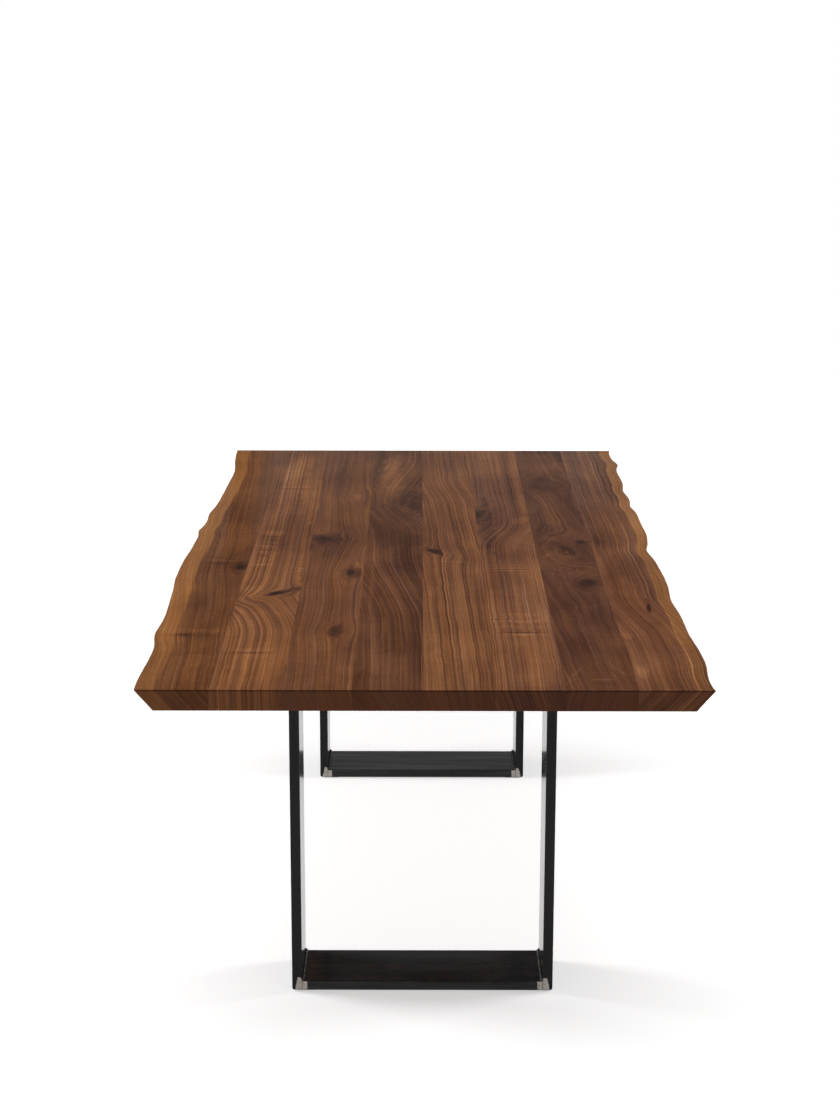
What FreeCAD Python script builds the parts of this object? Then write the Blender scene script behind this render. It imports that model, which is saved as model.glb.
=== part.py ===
import FreeCAD, Part
import math
import os
import Sketcher

# A live edge dining table: a top of edge-glued walnut staves on two loops of welded flat bar.
#
# Millimetres, +Z up. The origin is on the floor under the middle of the top, +X runs across the
# staves and +Y along them. The two outer staves keep the tree's own edge. Dowels line up the glued
# seams, steel channels let into the underside hold the top flat, and each leg loop is bolted to
# threaded inserts through slots that let the wood move across its grain.

Vector = FreeCAD.Vector

# Driving dimensions, each with its cell's alias, its value and what it is.
SIZES = (
    ("overall_height", 750, "floor to table surface"),
    ("top_length", 2200, "end to end along the grain"),
    ("top_thickness", 38, "thickness of the staves"),
    ("stave_width", 125, "each straight stave, seam to seam"),
    ("live_stave_width", 145, "outer stave, seam to the furthest point of its live edge"),
    ("live_edge_wander", 30, "how far the live edge draws in from that point"),
    ("live_edge_undercut", 34, "how far the live edge slopes in from top to underside"),
    ("arris", 1, "eased edge across the ends of the staves"),
    ("dowel_diameter", 10, "beech dowel in a glued seam"),
    ("dowel_length", 50, "half in each stave"),
    ("dowel_end_margin", 150, "end of the top to the first dowel"),
    ("dowel_chamfer", 1, "bevel on the dowel's ends"),
    ("dowel_end_play", 1, "glue room at each end of a dowel"),
    ("close_fit", 0.05, "radial play of dowels, inserts, threads and pilot holes"),
    ("leg_setback", 392, "end of the top to the outer face of the leg loop"),
    ("leg_width", 520, "leg loop over its uprights"),
    ("bar_width", 150, "flat bar, wide side"),
    ("bar_thickness", 20, "flat bar, narrow side"),
    ("bar_edge_radius", 1.5, "rolled edge of the flat bar"),
    ("corner_radius", 5, "ground corner at the foot of an upright"),
    ("weld_size", 6, "leg length of a fillet weld"),
    ("weld_end_margin", 2, "bare end of a fillet weld"),
    ("glide_thickness", 2, "felt under the loop"),
    ("glide_width", 36, "felt strip, across the table"),
    ("glide_margin", 5, "bar edge to felt strip"),
    ("bolt_diameter", 8, "leg bolt"),
    ("bolt_engagement", 16, "bolt thread inside its insert"),
    ("bolt_head_diameter", 13, "socket head"),
    ("bolt_head_height", 8, "socket head"),
    ("socket_flats", 6, "hexagon socket across its flats"),
    ("socket_depth", 4, "hexagon socket"),
    ("washer_diameter", 18, "washer under the bolt's head"),
    ("washer_thickness", 1.6, "washer under the bolt's head"),
    ("washer_play", 0.2, "radial play of the washer on the bolt"),
    ("slot_width", 9, "bolt slot in the top bar"),
    ("slot_travel", 9, "how much longer the slot is than wide"),
    ("bolt_side_margin", 52.5, "inner face of the upright to the first bolt"),
    ("bolt_edge_margin", 30, "edge of the bar to the bolt row"),
    ("insert_diameter", 14, "threaded insert"),
    ("insert_length", 22, "threaded insert"),
    ("insert_run_out", 2, "drilled depth past the insert"),
    ("channel_width", 40, "stiffening channel over its flanges"),
    ("channel_depth", 15, "stiffening channel, flush with the underside"),
    ("channel_wall", 3, "stiffening channel"),
    ("channel_end_margin", 38, "last screw to the end of the channel"),
    ("channel_end_play", 6, "room for the wood to shrink at each end of the channel"),
    ("channel_side_play", 0.25, "groove beside the channel"),
    ("channel_setback", 200, "end of the top to the nearest channel's middle"),
    ("screw_diameter", 5, "channel screw"),
    ("screw_head_diameter", 10, "channel screw"),
    ("screw_head_height", 3, "channel screw"),
    ("screw_point", 5, "tapered point of a channel screw"),
    ("screw_cover", 5, "wood left above a channel screw"),
    ("screw_slot_width", 6, "screw slot in the channel"),
    ("screw_slot_travel", 5, "how much longer the slot is than wide"),
    ("overrun", 5, "how far a cut runs past what it cuts"),
)

STRAIGHT_STAVES = 6
DOWELS_PER_SEAM = 6
BOLT_COLUMNS = 4
BOLT_ROWS = 2
SCREWS_PER_CHANNEL = STRAIGHT_STAVES
HEXAGON_CORNERS = 6

# How round a weld bead's face is: the place of its crest as a share of the weld's leg length.
bead_crest_share = 0.58

# The live edges from the near end to the far end. Each station is a place along the top as a share
# of its length, how far the edge has drawn in as a share of the wander, and how far it slopes in
# underneath as a share of the undercut.
left_edge_shares = (
    (0.000, 0.45, 1.00),
    (0.030, 0.42, 0.98),
    (0.060, 0.48, 0.92),
    (0.105, 0.59, 0.86),
    (0.130, 0.52, 0.90),
    (0.150, 0.34, 0.98),
    (0.168, 0.27, 1.02),
    (0.187, 0.35, 0.97),
    (0.215, 0.40, 0.92),
    (0.262, 0.35, 0.92),
    (0.305, 0.21, 0.96),
    (0.332, 0.11, 1.00),
    (0.349, 0.03, 1.05),
    (0.370, 0.00, 1.06),
    (0.412, 0.02, 1.02),
    (0.445, 0.10, 1.00),
    (0.480, 0.22, 0.96),
    (0.515, 0.30, 0.92),
    (0.538, 0.31, 0.92),
    (0.560, 0.19, 1.00),
    (0.576, 0.34, 0.94),
    (0.588, 0.44, 0.86),
    (0.607, 0.49, 0.84),
    (0.637, 0.43, 0.90),
    (0.670, 0.63, 0.84),
    (0.727, 0.83, 0.80),
    (0.800, 0.94, 0.80),
    (0.890, 0.94, 0.82),
    (0.916, 0.77, 0.92),
    (0.950, 0.61, 0.96),
    (1.000, 0.48, 1.00),
)
right_edge_shares = (
    (0.000, 0.30, 1.00),
    (0.027, 0.41, 0.96),
    (0.070, 0.21, 1.02),
    (0.094, 0.17, 1.04),
    (0.142, 0.33, 0.96),
    (0.167, 0.41, 0.90),
    (0.233, 0.43, 0.86),
    (0.280, 0.60, 0.82),
    (0.318, 0.44, 0.90),
    (0.362, 0.36, 0.96),
    (0.412, 0.48, 0.92),
    (0.445, 0.60, 0.84),
    (0.480, 0.76, 0.66),
    (0.494, 0.59, 0.80),
    (0.515, 0.41, 0.92),
    (0.543, 0.28, 1.02),
    (0.600, 0.32, 0.98),
    (0.637, 0.30, 1.00),
    (0.660, 0.39, 0.92),
    (0.680, 0.56, 0.78),
    (0.695, 0.48, 0.86),
    (0.727, 0.42, 0.90),
    (0.760, 0.58, 0.82),
    (0.793, 0.40, 0.94),
    (0.820, 0.35, 0.96),
    (0.880, 0.37, 0.92),
    (0.897, 0.22, 1.00),
    (0.911, 0.05, 1.04),
    (0.930, 0.22, 0.98),
    (0.955, 0.38, 0.88),
    (1.000, 0.27, 1.00),
)

# Places worked out from the driving dimensions, as expressions on the sheet.
UNDERSIDE = "(sizes.overall_height - sizes.top_thickness)"
LOOP_HEIGHT = f"({UNDERSIDE} - sizes.glide_thickness)"
LOOP_INSIDE = "(sizes.leg_width - 2 * sizes.bar_thickness)"
LOOP_Y = "(sizes.top_length / 2 - sizes.leg_setback - sizes.bar_width / 2)"
LOOP_Z = f"(sizes.glide_thickness + {LOOP_HEIGHT} / 2)"
BAR_Z = f"({LOOP_HEIGHT} / 2 - sizes.bar_thickness / 2)"
BOLT_SPAN_X = f"({LOOP_INSIDE} - 2 * sizes.bolt_side_margin)"
BOLT_SPAN_Y = "(sizes.bar_width - 2 * sizes.bolt_edge_margin)"
HEAD_Z = f"({UNDERSIDE} - sizes.bar_thickness - sizes.washer_thickness)"
SEAM_SPAN = f"({STRAIGHT_STAVES} * sizes.stave_width)"
DOWEL_SPAN = "(sizes.top_length - 2 * sizes.dowel_end_margin)"
DOWEL_Z = f"({UNDERSIDE} + (sizes.channel_depth + sizes.top_thickness) / 2)"
SCREW_SPAN = f"({SCREWS_PER_CHANNEL - 1} * sizes.stave_width)"
CHANNEL_LENGTH = f"({SCREW_SPAN} + 2 * sizes.channel_end_margin)"
CHANNEL_Y = "(sizes.top_length / 2 - sizes.channel_setback)"
WEB_Z = f"({UNDERSIDE} + sizes.channel_depth - sizes.channel_wall)"
SCREW_GRIP = "(sizes.top_thickness - sizes.channel_depth - sizes.screw_cover)"

doc = FreeCAD.newDocument("live_edge_table")
sheet = doc.addObject("Spreadsheet::Sheet", "sizes")
for row, (alias, size, note) in enumerate(SIZES, start=1):
    sheet.set(f"A{row}", str(size))
    sheet.setAlias(f"A{row}", alias)
    sheet.set(f"B{row}", note)
doc.recompute()

nodes = {}


def value(expression):
    """The number that an expression on the sheet has now."""
    return float(sheet.evalExpression(str(expression)))


def bind(thing, place, expression):
    """Ties one property to the sheet."""
    thing.setExpression(place, str(expression))


def place(thing, x=0, y=0, z=0):
    """Ties a piece's place to the sheet."""
    bind(thing, "Placement.Base.x", x)
    bind(thing, "Placement.Base.y", y)
    bind(thing, "Placement.Base.z", z)


def keep(thing, name):
    """Names a finished sub-part and lists it for the hand-over."""
    thing.Label = name
    nodes[name] = thing
    return thing


def origin_of(body, role):
    """One of the body's own origin planes or axes."""
    return next(item for item in body.Origin.OriginFeatures if item.Role == role)


def new_body(name):
    """An empty body, ready for sketches and features."""
    return doc.addObject("PartDesign::Body", name)


def new_sketch(body, role, x=0, y=0, z=0):
    """A sketch on one of the body's origin planes, shifted by expressions in the sketch's own axes."""
    sketch = body.newObject("Sketcher::SketchObject", "outline")
    sketch.AttachmentSupport = (origin_of(body, role), [""])
    sketch.MapMode = "FlatFace"
    bind(sketch, "AttachmentOffset.Base.x", x)
    bind(sketch, "AttachmentOffset.Base.y", y)
    bind(sketch, "AttachmentOffset.Base.z", z)
    return sketch


def fix_point(sketch, item, end, x, y, name):
    """Holds one point of a sketch at two expressions."""
    for kind, axis, expression in (("DistanceX", -2, x), ("DistanceY", -1, y)):
        if str(expression) == "0":
            sketch.addConstraint(Sketcher.Constraint("PointOnObject", item, end, axis))
            continue
        rule = Sketcher.Constraint(kind, -1, 1, item, end, value(expression))
        number = sketch.addConstraint(rule)
        sketch.renameConstraint(number, f"{name}_{kind[-1].lower()}")
        bind(sketch, f"Constraints.{name}_{kind[-1].lower()}", expression)


def polygon(sketch, corners):
    """A closed outline of straight lines through corners that are given as expressions."""
    points = [Vector(value(x), value(y), 0) for x, y in corners]
    count = len(points)
    for k in range(count):
        sketch.addGeometry(Part.LineSegment(points[k], points[(k + 1) % count]), False)
    for k in range(count):
        sketch.addConstraint(Sketcher.Constraint("Coincident", k, 2, (k + 1) % count, 1))
    for k, (x, y) in enumerate(corners):
        fix_point(sketch, k, 1, x, y, f"corner_{k}")
    return sketch


def rectangle(sketch, wide, high):
    """A rectangle about the sketch's origin."""
    right, up = f"({wide}) / 2", f"({high}) / 2"
    return polygon(sketch, [(f"-{right}", f"-{up}"), (right, f"-{up}"), (right, up), (f"-{right}", up)])


def circle(sketch, diameter):
    """A circle about the sketch's origin."""
    sketch.addGeometry(Part.Circle(Vector(), Vector(0, 0, 1), value(diameter) / 2), False)
    sketch.addConstraint(Sketcher.Constraint("Coincident", 0, 3, -1, 1))
    number = sketch.addConstraint(Sketcher.Constraint("Diameter", 0, value(diameter)))
    sketch.renameConstraint(number, "diameter")
    bind(sketch, "Constraints.diameter", diameter)
    return sketch


def slot(sketch, travel, wide):
    """A round-ended slot about the sketch's origin, running along the sketch's own X."""
    reach, radius = value(travel) / 2, value(wide) / 2
    right = Part.Circle(Vector(reach, 0, 0), Vector(0, 0, 1), radius)
    left = Part.Circle(Vector(-reach, 0, 0), Vector(0, 0, 1), radius)
    sketch.addGeometry(Part.LineSegment(Vector(-reach, -radius, 0), Vector(reach, -radius, 0)), False)
    sketch.addGeometry(Part.ArcOfCircle(right, -math.pi / 2, math.pi / 2), False)
    sketch.addGeometry(Part.LineSegment(Vector(reach, radius, 0), Vector(-reach, radius, 0)), False)
    sketch.addGeometry(Part.ArcOfCircle(left, math.pi / 2, 3 * math.pi / 2), False)
    for first, second in ((0, 1), (1, 2), (2, 3), (3, 0)):
        sketch.addConstraint(Sketcher.Constraint("Tangent", first, 2, second, 1))
    fix_point(sketch, 1, 3, f"({travel}) / 2", 0, "right_end")
    fix_point(sketch, 3, 3, f"-({travel}) / 2", 0, "left_end")
    number = sketch.addConstraint(Sketcher.Constraint("Diameter", 1, 2 * radius))
    sketch.renameConstraint(number, "wide")
    bind(sketch, "Constraints.wide", wide)
    return sketch


def hexagon(sketch, flats):
    """A hexagon about the sketch's origin, given across its flats."""
    corners = []
    for k in range(HEXAGON_CORNERS):
        angle = 2 * math.pi * (k + 0.5) / HEXAGON_CORNERS
        reach = 1 / math.cos(math.pi / HEXAGON_CORNERS)
        across, up = reach * math.cos(angle), reach * math.sin(angle)
        corners.append((f"{across:.9f} * ({flats}) / 2", f"{up:.9f} * ({flats}) / 2"))
    return polygon(sketch, corners)


def pad(body, sketch, length, both_ways=True):
    """Material along the sketch's normal, half to each side unless told otherwise."""
    doc.recompute()
    feature = body.newObject("PartDesign::Pad", "pad")
    feature.Profile = sketch
    feature.SideType = "Symmetric" if both_ways else "One side"
    bind(feature, "Length", length)
    doc.recompute()
    return feature


def pocket(body, sketch, length, both_ways=True):
    """A cut along the sketch's normal, half to each side or against the normal."""
    doc.recompute()
    before = body.Shape.Volume
    feature = body.newObject("PartDesign::Pocket", "pocket")
    feature.Profile = sketch
    feature.SideType = "Symmetric" if both_ways else "One side"
    bind(feature, "Length", length)
    doc.recompute()
    if body.Shape.Volume >= before:
        raise RuntimeError(f"a pocket of {body.Label} cuts nothing")
    return feature


def turn(body, sketch, axis="V_Axis"):
    """A round solid, turned about one of the sketch's own axes."""
    doc.recompute()
    feature = body.newObject("PartDesign::Revolution", "turned")
    feature.Profile = sketch
    feature.ReferenceAxis = (sketch, [axis])
    feature.Angle = 360
    doc.recompute()
    return feature


def grid(body, features, x_count, x_span, y_count=1, y_span=0):
    """Copies of features in rows along the body's X and columns along its Y."""
    pattern = body.newObject("PartDesign::LinearPattern", "grid")
    pattern.Originals = features
    runs = [("X_Axis", x_count, x_span), ("Y_Axis", y_count, y_span)]
    runs = [run for run in runs if run[1] > 1]
    for suffix, (role, count, span) in zip(("", "2"), runs):
        setattr(pattern, f"Direction{suffix}", (origin_of(body, role), [""]))
        setattr(pattern, f"Occurrences{suffix}", count)
        bind(pattern, f"Length{suffix}", span)
    body.Tip = pattern
    doc.recompute()
    return pattern


def mirrored(body, feature, *roles):
    """Copies of a feature mirrored in the body's origin planes, one after the other."""
    family = body.newObject("PartDesign::MultiTransform", "mirrored")
    family.Originals = [feature]
    steps = []
    for role in roles:
        step = body.newObject("PartDesign::Mirrored", "mirror")
        step.MirrorPlane = (origin_of(body, role), [""])
        steps.append(step)
    family.Transformations = steps
    body.Tip = family
    doc.recompute()
    return family


def round_edges(body, feature, radius, wanted):
    """Rounds those edges of a feature whose middle point and direction pass a test."""
    names = []
    for number, edge in enumerate(feature.Shape.Edges, start=1):
        first, last = edge.ParameterRange
        if wanted(edge.valueAt((first + last) / 2), edge.tangentAt(first)):
            names.append(f"Edge{number}")
    rounding = body.newObject("PartDesign::Fillet", "rounded")
    rounding.Base = (feature, names)
    bind(rounding, "Radius", radius)
    doc.recompute()
    return rounding


def runs_along(axis):
    """A test for edges parallel to one of the axes."""
    return lambda point, direction: abs(direction.dot(axis)) > 1 - 1e-6


ALONG_X, ALONG_Y, ALONG_Z = Vector(1, 0, 0), Vector(0, 1, 0), Vector(0, 0, 1)


# The staves before their grooves and holes
def stave_blank(name, wide, x):
    """A planed board the length of the top, eased across its ends."""
    body = new_body(name)
    outline = rectangle(new_sketch(body, "YZ_Plane"), "sizes.top_length", "sizes.top_thickness")
    board = pad(body, outline, wide)
    round_edges(body, board, "sizes.arris", runs_along(ALONG_X))
    place(body, x=x, z=f"{UNDERSIDE} + sizes.top_thickness / 2")
    return body


def live_edge_waste(name, stations, side):
    """What lies outside the tree's own edge: the bark side of an outer board, which is cut away."""
    length, thickness = value("sizes.top_length"), value("sizes.top_thickness")
    reach = value(f"{SEAM_SPAN} / 2 + sizes.live_stave_width")
    wander, undercut = value("sizes.live_edge_wander"), value("sizes.live_edge_undercut")
    overrun, underside = value("sizes.overrun"), value(UNDERSIDE)
    outside = side * (reach + 2 * overrun + undercut)
    wires = []
    for depth in (-overrun, thickness + overrun):
        edge_points = []
        for along, drawn_in, slope_in in stations:
            slope = undercut * slope_in * depth / thickness
            x = side * (reach - wander * drawn_in - slope)
            edge_points.append(Vector(x, length * (along - 0.5), underside + thickness - depth))
        curve = Part.BSplineCurve()
        curve.interpolate(Points=edge_points, Parameters=[along for along, *_ in stations])
        near, far = edge_points[0], edge_points[-1]
        near_past = Vector(near.x, near.y - overrun, near.z)
        far_past = Vector(far.x, far.y + overrun, far.z)
        outer = [Vector(outside, far_past.y, far.z), Vector(outside, near_past.y, near.z)]
        ring = [far, far_past, *outer, near_past, near]
        sides = [Part.LineSegment(a, b).toShape() for a, b in zip(ring, ring[1:])]
        wires.append(Part.Wire([curve.toShape(), *sides]))
    waste = doc.addObject("Part::Feature", name)
    waste.Shape = Part.makeLoft(wires, True, True)
    return waste


def live_stave_blank(name, stations, side):
    """An outer board with its live edge bared."""
    wide = "(sizes.live_stave_width + sizes.overrun)"
    board = stave_blank(f"{name}_board", wide, f"{side} * ({SEAM_SPAN} + {wide}) / 2")
    bared = doc.addObject("Part::Cut", f"{name}_bared")
    bared.Base = board
    bared.Tool = live_edge_waste(f"{name}_waste", stations, side)
    doc.recompute()
    return bared


# Dowels in the glued seams
def seam_dowels(name, x):
    """A row of dowels that lie across one seam."""
    body = new_body(name)
    half, chamfer = "sizes.dowel_length / 2", "sizes.dowel_chamfer"
    outside, end = "sizes.dowel_diameter / 2", f"({half} - {chamfer})"
    tip = f"({outside} - {chamfer})"
    corners = [(f"-{half}", 0), (half, 0), (half, tip), (end, outside)]
    corners += [(f"-{end}", outside), (f"-{half}", tip)]
    dowel = turn(body, polygon(new_sketch(body, "XY_Plane"), corners), "H_Axis")
    grid(body, [dowel], 1, 0, DOWELS_PER_SEAM, DOWEL_SPAN)
    place(body, x=x, y=f"-{DOWEL_SPAN} / 2", z=DOWEL_Z)
    return keep(body, name)


def seam_drilling():
    """The holes for every seam's dowels, with glue room at their ends."""
    body = new_body("seam_drilling")
    offset = {"x": f"-{DOWEL_SPAN} / 2", "y": DOWEL_Z, "z": f"-{SEAM_SPAN} / 2"}
    bore = circle(new_sketch(body, "YZ_Plane", **offset), "sizes.dowel_diameter + 2 * sizes.close_fit")
    hole = pad(body, bore, "sizes.dowel_length + 2 * sizes.dowel_end_play")
    grid(body, [hole], STRAIGHT_STAVES + 1, SEAM_SPAN, DOWELS_PER_SEAM, DOWEL_SPAN)
    return body


# The leg loops, each modelled about its own middle
def upright(name, side, y):
    """A full-height bar of the loop, its outer foot corner ground round."""
    body = new_body(name)
    section = rectangle(new_sketch(body, "XY_Plane"), "sizes.bar_thickness", "sizes.bar_width")
    bar = pad(body, section, LOOP_HEIGHT)

    def at_outer_foot(point, direction):
        return runs_along(ALONG_Y)(point, direction) and point.z < 0 and side * point.x > 0

    ground = round_edges(body, bar, "sizes.corner_radius", at_outer_foot)
    round_edges(body, ground, "sizes.bar_edge_radius", runs_along(ALONG_Z))
    place(body, x=f"{side} * (sizes.leg_width - sizes.bar_thickness) / 2", y=y, z=LOOP_Z)
    return keep(body, name)


def cross_bar(body, y, z):
    """A bar of the loop that is butted between the uprights, at a height in the loop's own frame."""
    section = rectangle(new_sketch(body, "YZ_Plane"), "sizes.bar_width", "sizes.bar_thickness")
    bar = pad(body, section, LOOP_INSIDE)
    rounded = round_edges(body, bar, "sizes.bar_edge_radius", runs_along(ALONG_X))
    place(body, y=y, z=f"{LOOP_Z} + {z}")
    return rounded


def foot_bar(name, y):
    """The bar on the floor."""
    body = new_body(name)
    cross_bar(body, y, f"-{BAR_Z}")
    return keep(body, name)


def top_bar(name, y):
    """The bar under the top, with a slot for each bolt that lets the wood move across its grain."""
    body = new_body(name)
    cross_bar(body, y, BAR_Z)
    sketch = new_sketch(body, "XY_Plane", x=f"-{BOLT_SPAN_X} / 2", y=f"-{BOLT_SPAN_Y} / 2")
    cut = pocket(body, slot(sketch, "sizes.slot_travel", "sizes.slot_width"), "2 * sizes.bar_thickness")
    grid(body, [cut], BOLT_COLUMNS, BOLT_SPAN_X, BOLT_ROWS, BOLT_SPAN_Y)
    return keep(body, name)


def weld_beads(name, y):
    """Fillet welds in the four inside corners of a loop."""
    body = new_body(name)
    corner = {"x": f"{LOOP_INSIDE} / 2", "y": f"-({LOOP_HEIGHT} / 2 - sizes.bar_thickness)"}
    leg, crest = "sizes.weld_size", f"{bead_crest_share} * sizes.weld_size"
    corners = [(0, 0), (0, leg), (f"-{crest}", crest), (f"-{leg}", 0)]
    bead = pad(body, polygon(new_sketch(body, "XZ_Plane", **corner), corners),
               "sizes.bar_width - 2 * sizes.weld_end_margin")
    mirrored(body, bead, "YZ_Plane", "XY_Plane")
    place(body, y=y, z=LOOP_Z)
    return keep(body, name)


def felt_glides(name, y):
    """A felt strip under each end of a loop's foot."""
    body = new_body(name)
    middle = "sizes.leg_width / 2 - sizes.corner_radius - sizes.glide_margin - sizes.glide_width / 2"
    strip = rectangle(new_sketch(body, "XY_Plane", x=middle),
                      "sizes.glide_width", "sizes.bar_width - 2 * sizes.glide_margin")
    felt = pad(body, strip, "sizes.glide_thickness", both_ways=False)
    mirrored(body, felt, "YZ_Plane")
    place(body, y=y)
    return keep(body, name)


# What bolts a loop to the top
def on_bolt_grid(body, features, y, z):
    """Repeats a fastener at each bolt of a loop."""
    grid(body, features, BOLT_COLUMNS, BOLT_SPAN_X, BOLT_ROWS, BOLT_SPAN_Y)
    place(body, x=f"-{BOLT_SPAN_X} / 2", y=f"{y} - {BOLT_SPAN_Y} / 2", z=z)


def leg_bolts(name, y):
    """Socket head bolts, their heads below the washers."""
    body = new_body(name)
    head, shank = "sizes.bolt_head_diameter / 2", "sizes.bolt_diameter / 2"
    drop = "-sizes.bolt_head_height"
    grip = "(sizes.washer_thickness + sizes.bar_thickness + sizes.bolt_engagement)"
    corners = [(0, drop), (head, drop), (head, 0), (shank, 0), (shank, grip), (0, grip)]
    bolt = turn(body, polygon(new_sketch(body, "XZ_Plane"), corners))
    floor = new_sketch(body, "XY_Plane", z=f"{drop} + sizes.socket_depth")
    socket = pocket(body, hexagon(floor, "sizes.socket_flats"), "sizes.socket_depth", both_ways=False)
    on_bolt_grid(body, [bolt, socket], y, HEAD_Z)
    return keep(body, name)


def ring(body, inside, outside, height):
    """A plain round sleeve that stands on the body's XY plane."""
    corners = [(inside, 0), (outside, 0), (outside, height), (inside, height)]
    return turn(body, polygon(new_sketch(body, "XZ_Plane"), corners))


def leg_washers(name, y):
    """A washer between each bolt's head and the slotted bar."""
    body = new_body(name)
    bore = "(sizes.bolt_diameter / 2 + sizes.washer_play)"
    washer = ring(body, bore, "sizes.washer_diameter / 2", "sizes.washer_thickness")
    on_bolt_grid(body, [washer], y, HEAD_Z)
    return keep(body, name)


def threaded_inserts(name, y):
    """A brass sleeve in the underside of the top for each bolt."""
    body = new_body(name)
    bore = "(sizes.bolt_diameter / 2 + sizes.close_fit)"
    sleeve = ring(body, bore, "sizes.insert_diameter / 2", "sizes.insert_length")
    on_bolt_grid(body, [sleeve], y, UNDERSIDE)
    return keep(body, name)


def insert_drilling(name, y):
    """The blind holes that a loop's inserts go into."""
    body = new_body(name)
    bore = circle(new_sketch(body, "XY_Plane", z="-sizes.overrun"),
                  "sizes.insert_diameter + 2 * sizes.close_fit")
    hole = pad(body, bore, "sizes.overrun + sizes.insert_length + sizes.insert_run_out", both_ways=False)
    on_bolt_grid(body, [hole], y, UNDERSIDE)
    return body


# Steel channels that hold the top flat
def stiffener(name, y):
    """A channel let in flush across the underside, open downwards, slotted for its screws."""
    body = new_body(name)
    section = new_sketch(body, "YZ_Plane", y="sizes.channel_depth / 2")
    pad(body, rectangle(section, "sizes.channel_width", "sizes.channel_depth"), CHANNEL_LENGTH)
    inside = "(sizes.channel_depth - sizes.channel_wall + sizes.overrun)"
    hollow = new_sketch(body, "YZ_Plane", y=f"{inside} / 2 - sizes.overrun")
    pocket(body, rectangle(hollow, "sizes.channel_width - 2 * sizes.channel_wall", inside),
           f"{CHANNEL_LENGTH} + 2 * sizes.overrun")
    web = new_sketch(body, "XY_Plane", x=f"-{SCREW_SPAN} / 2", z="sizes.channel_depth")
    cut = pocket(body, slot(web, "sizes.screw_slot_travel", "sizes.screw_slot_width"),
                 "2 * (sizes.channel_wall + sizes.overrun)")
    grid(body, [cut], SCREWS_PER_CHANNEL, SCREW_SPAN)
    place(body, y=y, z=UNDERSIDE)
    return keep(body, name)


def stiffener_screws(name, y):
    """A screw through each slot of a channel, its head inside the channel."""
    body = new_body(name)
    head, shank = "sizes.screw_head_diameter / 2", "sizes.screw_diameter / 2"
    drop, tip = "-sizes.screw_head_height", f"(sizes.channel_wall + {SCREW_GRIP})"
    shoulder = f"({tip} - sizes.screw_point)"
    corners = [(0, drop), (head, drop), (head, 0), (shank, 0), (shank, shoulder), (0, tip)]
    screw = turn(body, polygon(new_sketch(body, "XZ_Plane"), corners))
    grid(body, [screw], SCREWS_PER_CHANNEL, SCREW_SPAN)
    place(body, x=f"-{SCREW_SPAN} / 2", y=y, z=WEB_Z)
    return keep(body, name)


def channel_groove(name, y):
    """The groove and pilot holes that a channel and its screws need in the top."""
    body = new_body(name)
    section = new_sketch(body, "YZ_Plane", y="(sizes.channel_depth - sizes.overrun) / 2")
    wide = "sizes.channel_width + 2 * sizes.channel_side_play"
    pad(body, rectangle(section, wide, "sizes.channel_depth + sizes.overrun"),
        f"{CHANNEL_LENGTH} + 2 * sizes.channel_end_play")
    bore = circle(new_sketch(body, "XY_Plane", x=f"-{SCREW_SPAN} / 2"),
                  "sizes.screw_diameter + 2 * sizes.close_fit")
    pilot = pad(body, bore, f"sizes.channel_depth + {SCREW_GRIP}", both_ways=False)
    grid(body, [pilot], SCREWS_PER_CHANNEL, SCREW_SPAN)
    place(body, y=y, z=UNDERSIDE)
    return body


# Build the table
cutters = [seam_drilling()]
for seam in range(STRAIGHT_STAVES + 1):
    seam_dowels(f"seam_{seam + 1}_dowels", f"{seam - STRAIGHT_STAVES / 2} * sizes.stave_width")

for end, loop_y in (("front", f"(-{LOOP_Y})"), ("rear", LOOP_Y)):
    upright(f"{end}_leg_left_upright", -1, loop_y)
    upright(f"{end}_leg_right_upright", 1, loop_y)
    foot_bar(f"{end}_leg_foot_bar", loop_y)
    top_bar(f"{end}_leg_top_bar", loop_y)
    weld_beads(f"{end}_leg_weld_beads", loop_y)
    felt_glides(f"{end}_leg_felt_glides", loop_y)
    leg_bolts(f"{end}_leg_bolts", loop_y)
    leg_washers(f"{end}_leg_washers", loop_y)
    threaded_inserts(f"{end}_leg_threaded_inserts", loop_y)
    cutters.append(insert_drilling(f"{end}_insert_drilling", loop_y))

for position, channel_y in (("front", f"(-{CHANNEL_Y})"), ("middle", 0), ("rear", CHANNEL_Y)):
    stiffener(f"{position}_stiffener_channel", channel_y)
    stiffener_screws(f"{position}_stiffener_screws", channel_y)
    cutters.append(channel_groove(f"{position}_channel_groove", channel_y))

machining = doc.addObject("Part::Compound", "machining")
machining.Links = cutters

blanks = {"left_live_edge_stave": live_stave_blank("left_live_edge", left_edge_shares, -1)}
for number in range(1, STRAIGHT_STAVES + 1):
    stave_x = f"{number - (STRAIGHT_STAVES + 1) / 2} * sizes.stave_width"
    blanks[f"stave_{number}"] = stave_blank(f"stave_{number}_blank", "sizes.stave_width", stave_x)
blanks["right_live_edge_stave"] = live_stave_blank("right_live_edge", right_edge_shares, 1)

for name, blank in blanks.items():
    stave = doc.addObject("Part::Cut", name)
    stave.Base = blank
    stave.Tool = machining
    keep(stave, name)
doc.recompute()

# Check every object, then write one file for each sub-part
for item in doc.Objects:
    if "Invalid" in item.State or "Error" in item.State:
        raise RuntimeError(f"{item.Label} did not build: {item.State}")

os.makedirs("parts", exist_ok=True)
for name, item in nodes.items():
    shape = item.Shape
    if shape.isNull() or not shape.isValid() or not shape.Solids:
        raise RuntimeError(f"{name} has no sound shape")
    solid = shape.Solids[0] if len(shape.Solids) == 1 else Part.makeCompound(shape.Solids)
    solid.exportStep(f"parts/{name}.step")
    print(f"{name}: {len(shape.Solids)} solids, {shape.Volume / 1000:.1f} cm3")
print(f"{len(nodes)} sub-parts")
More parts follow.
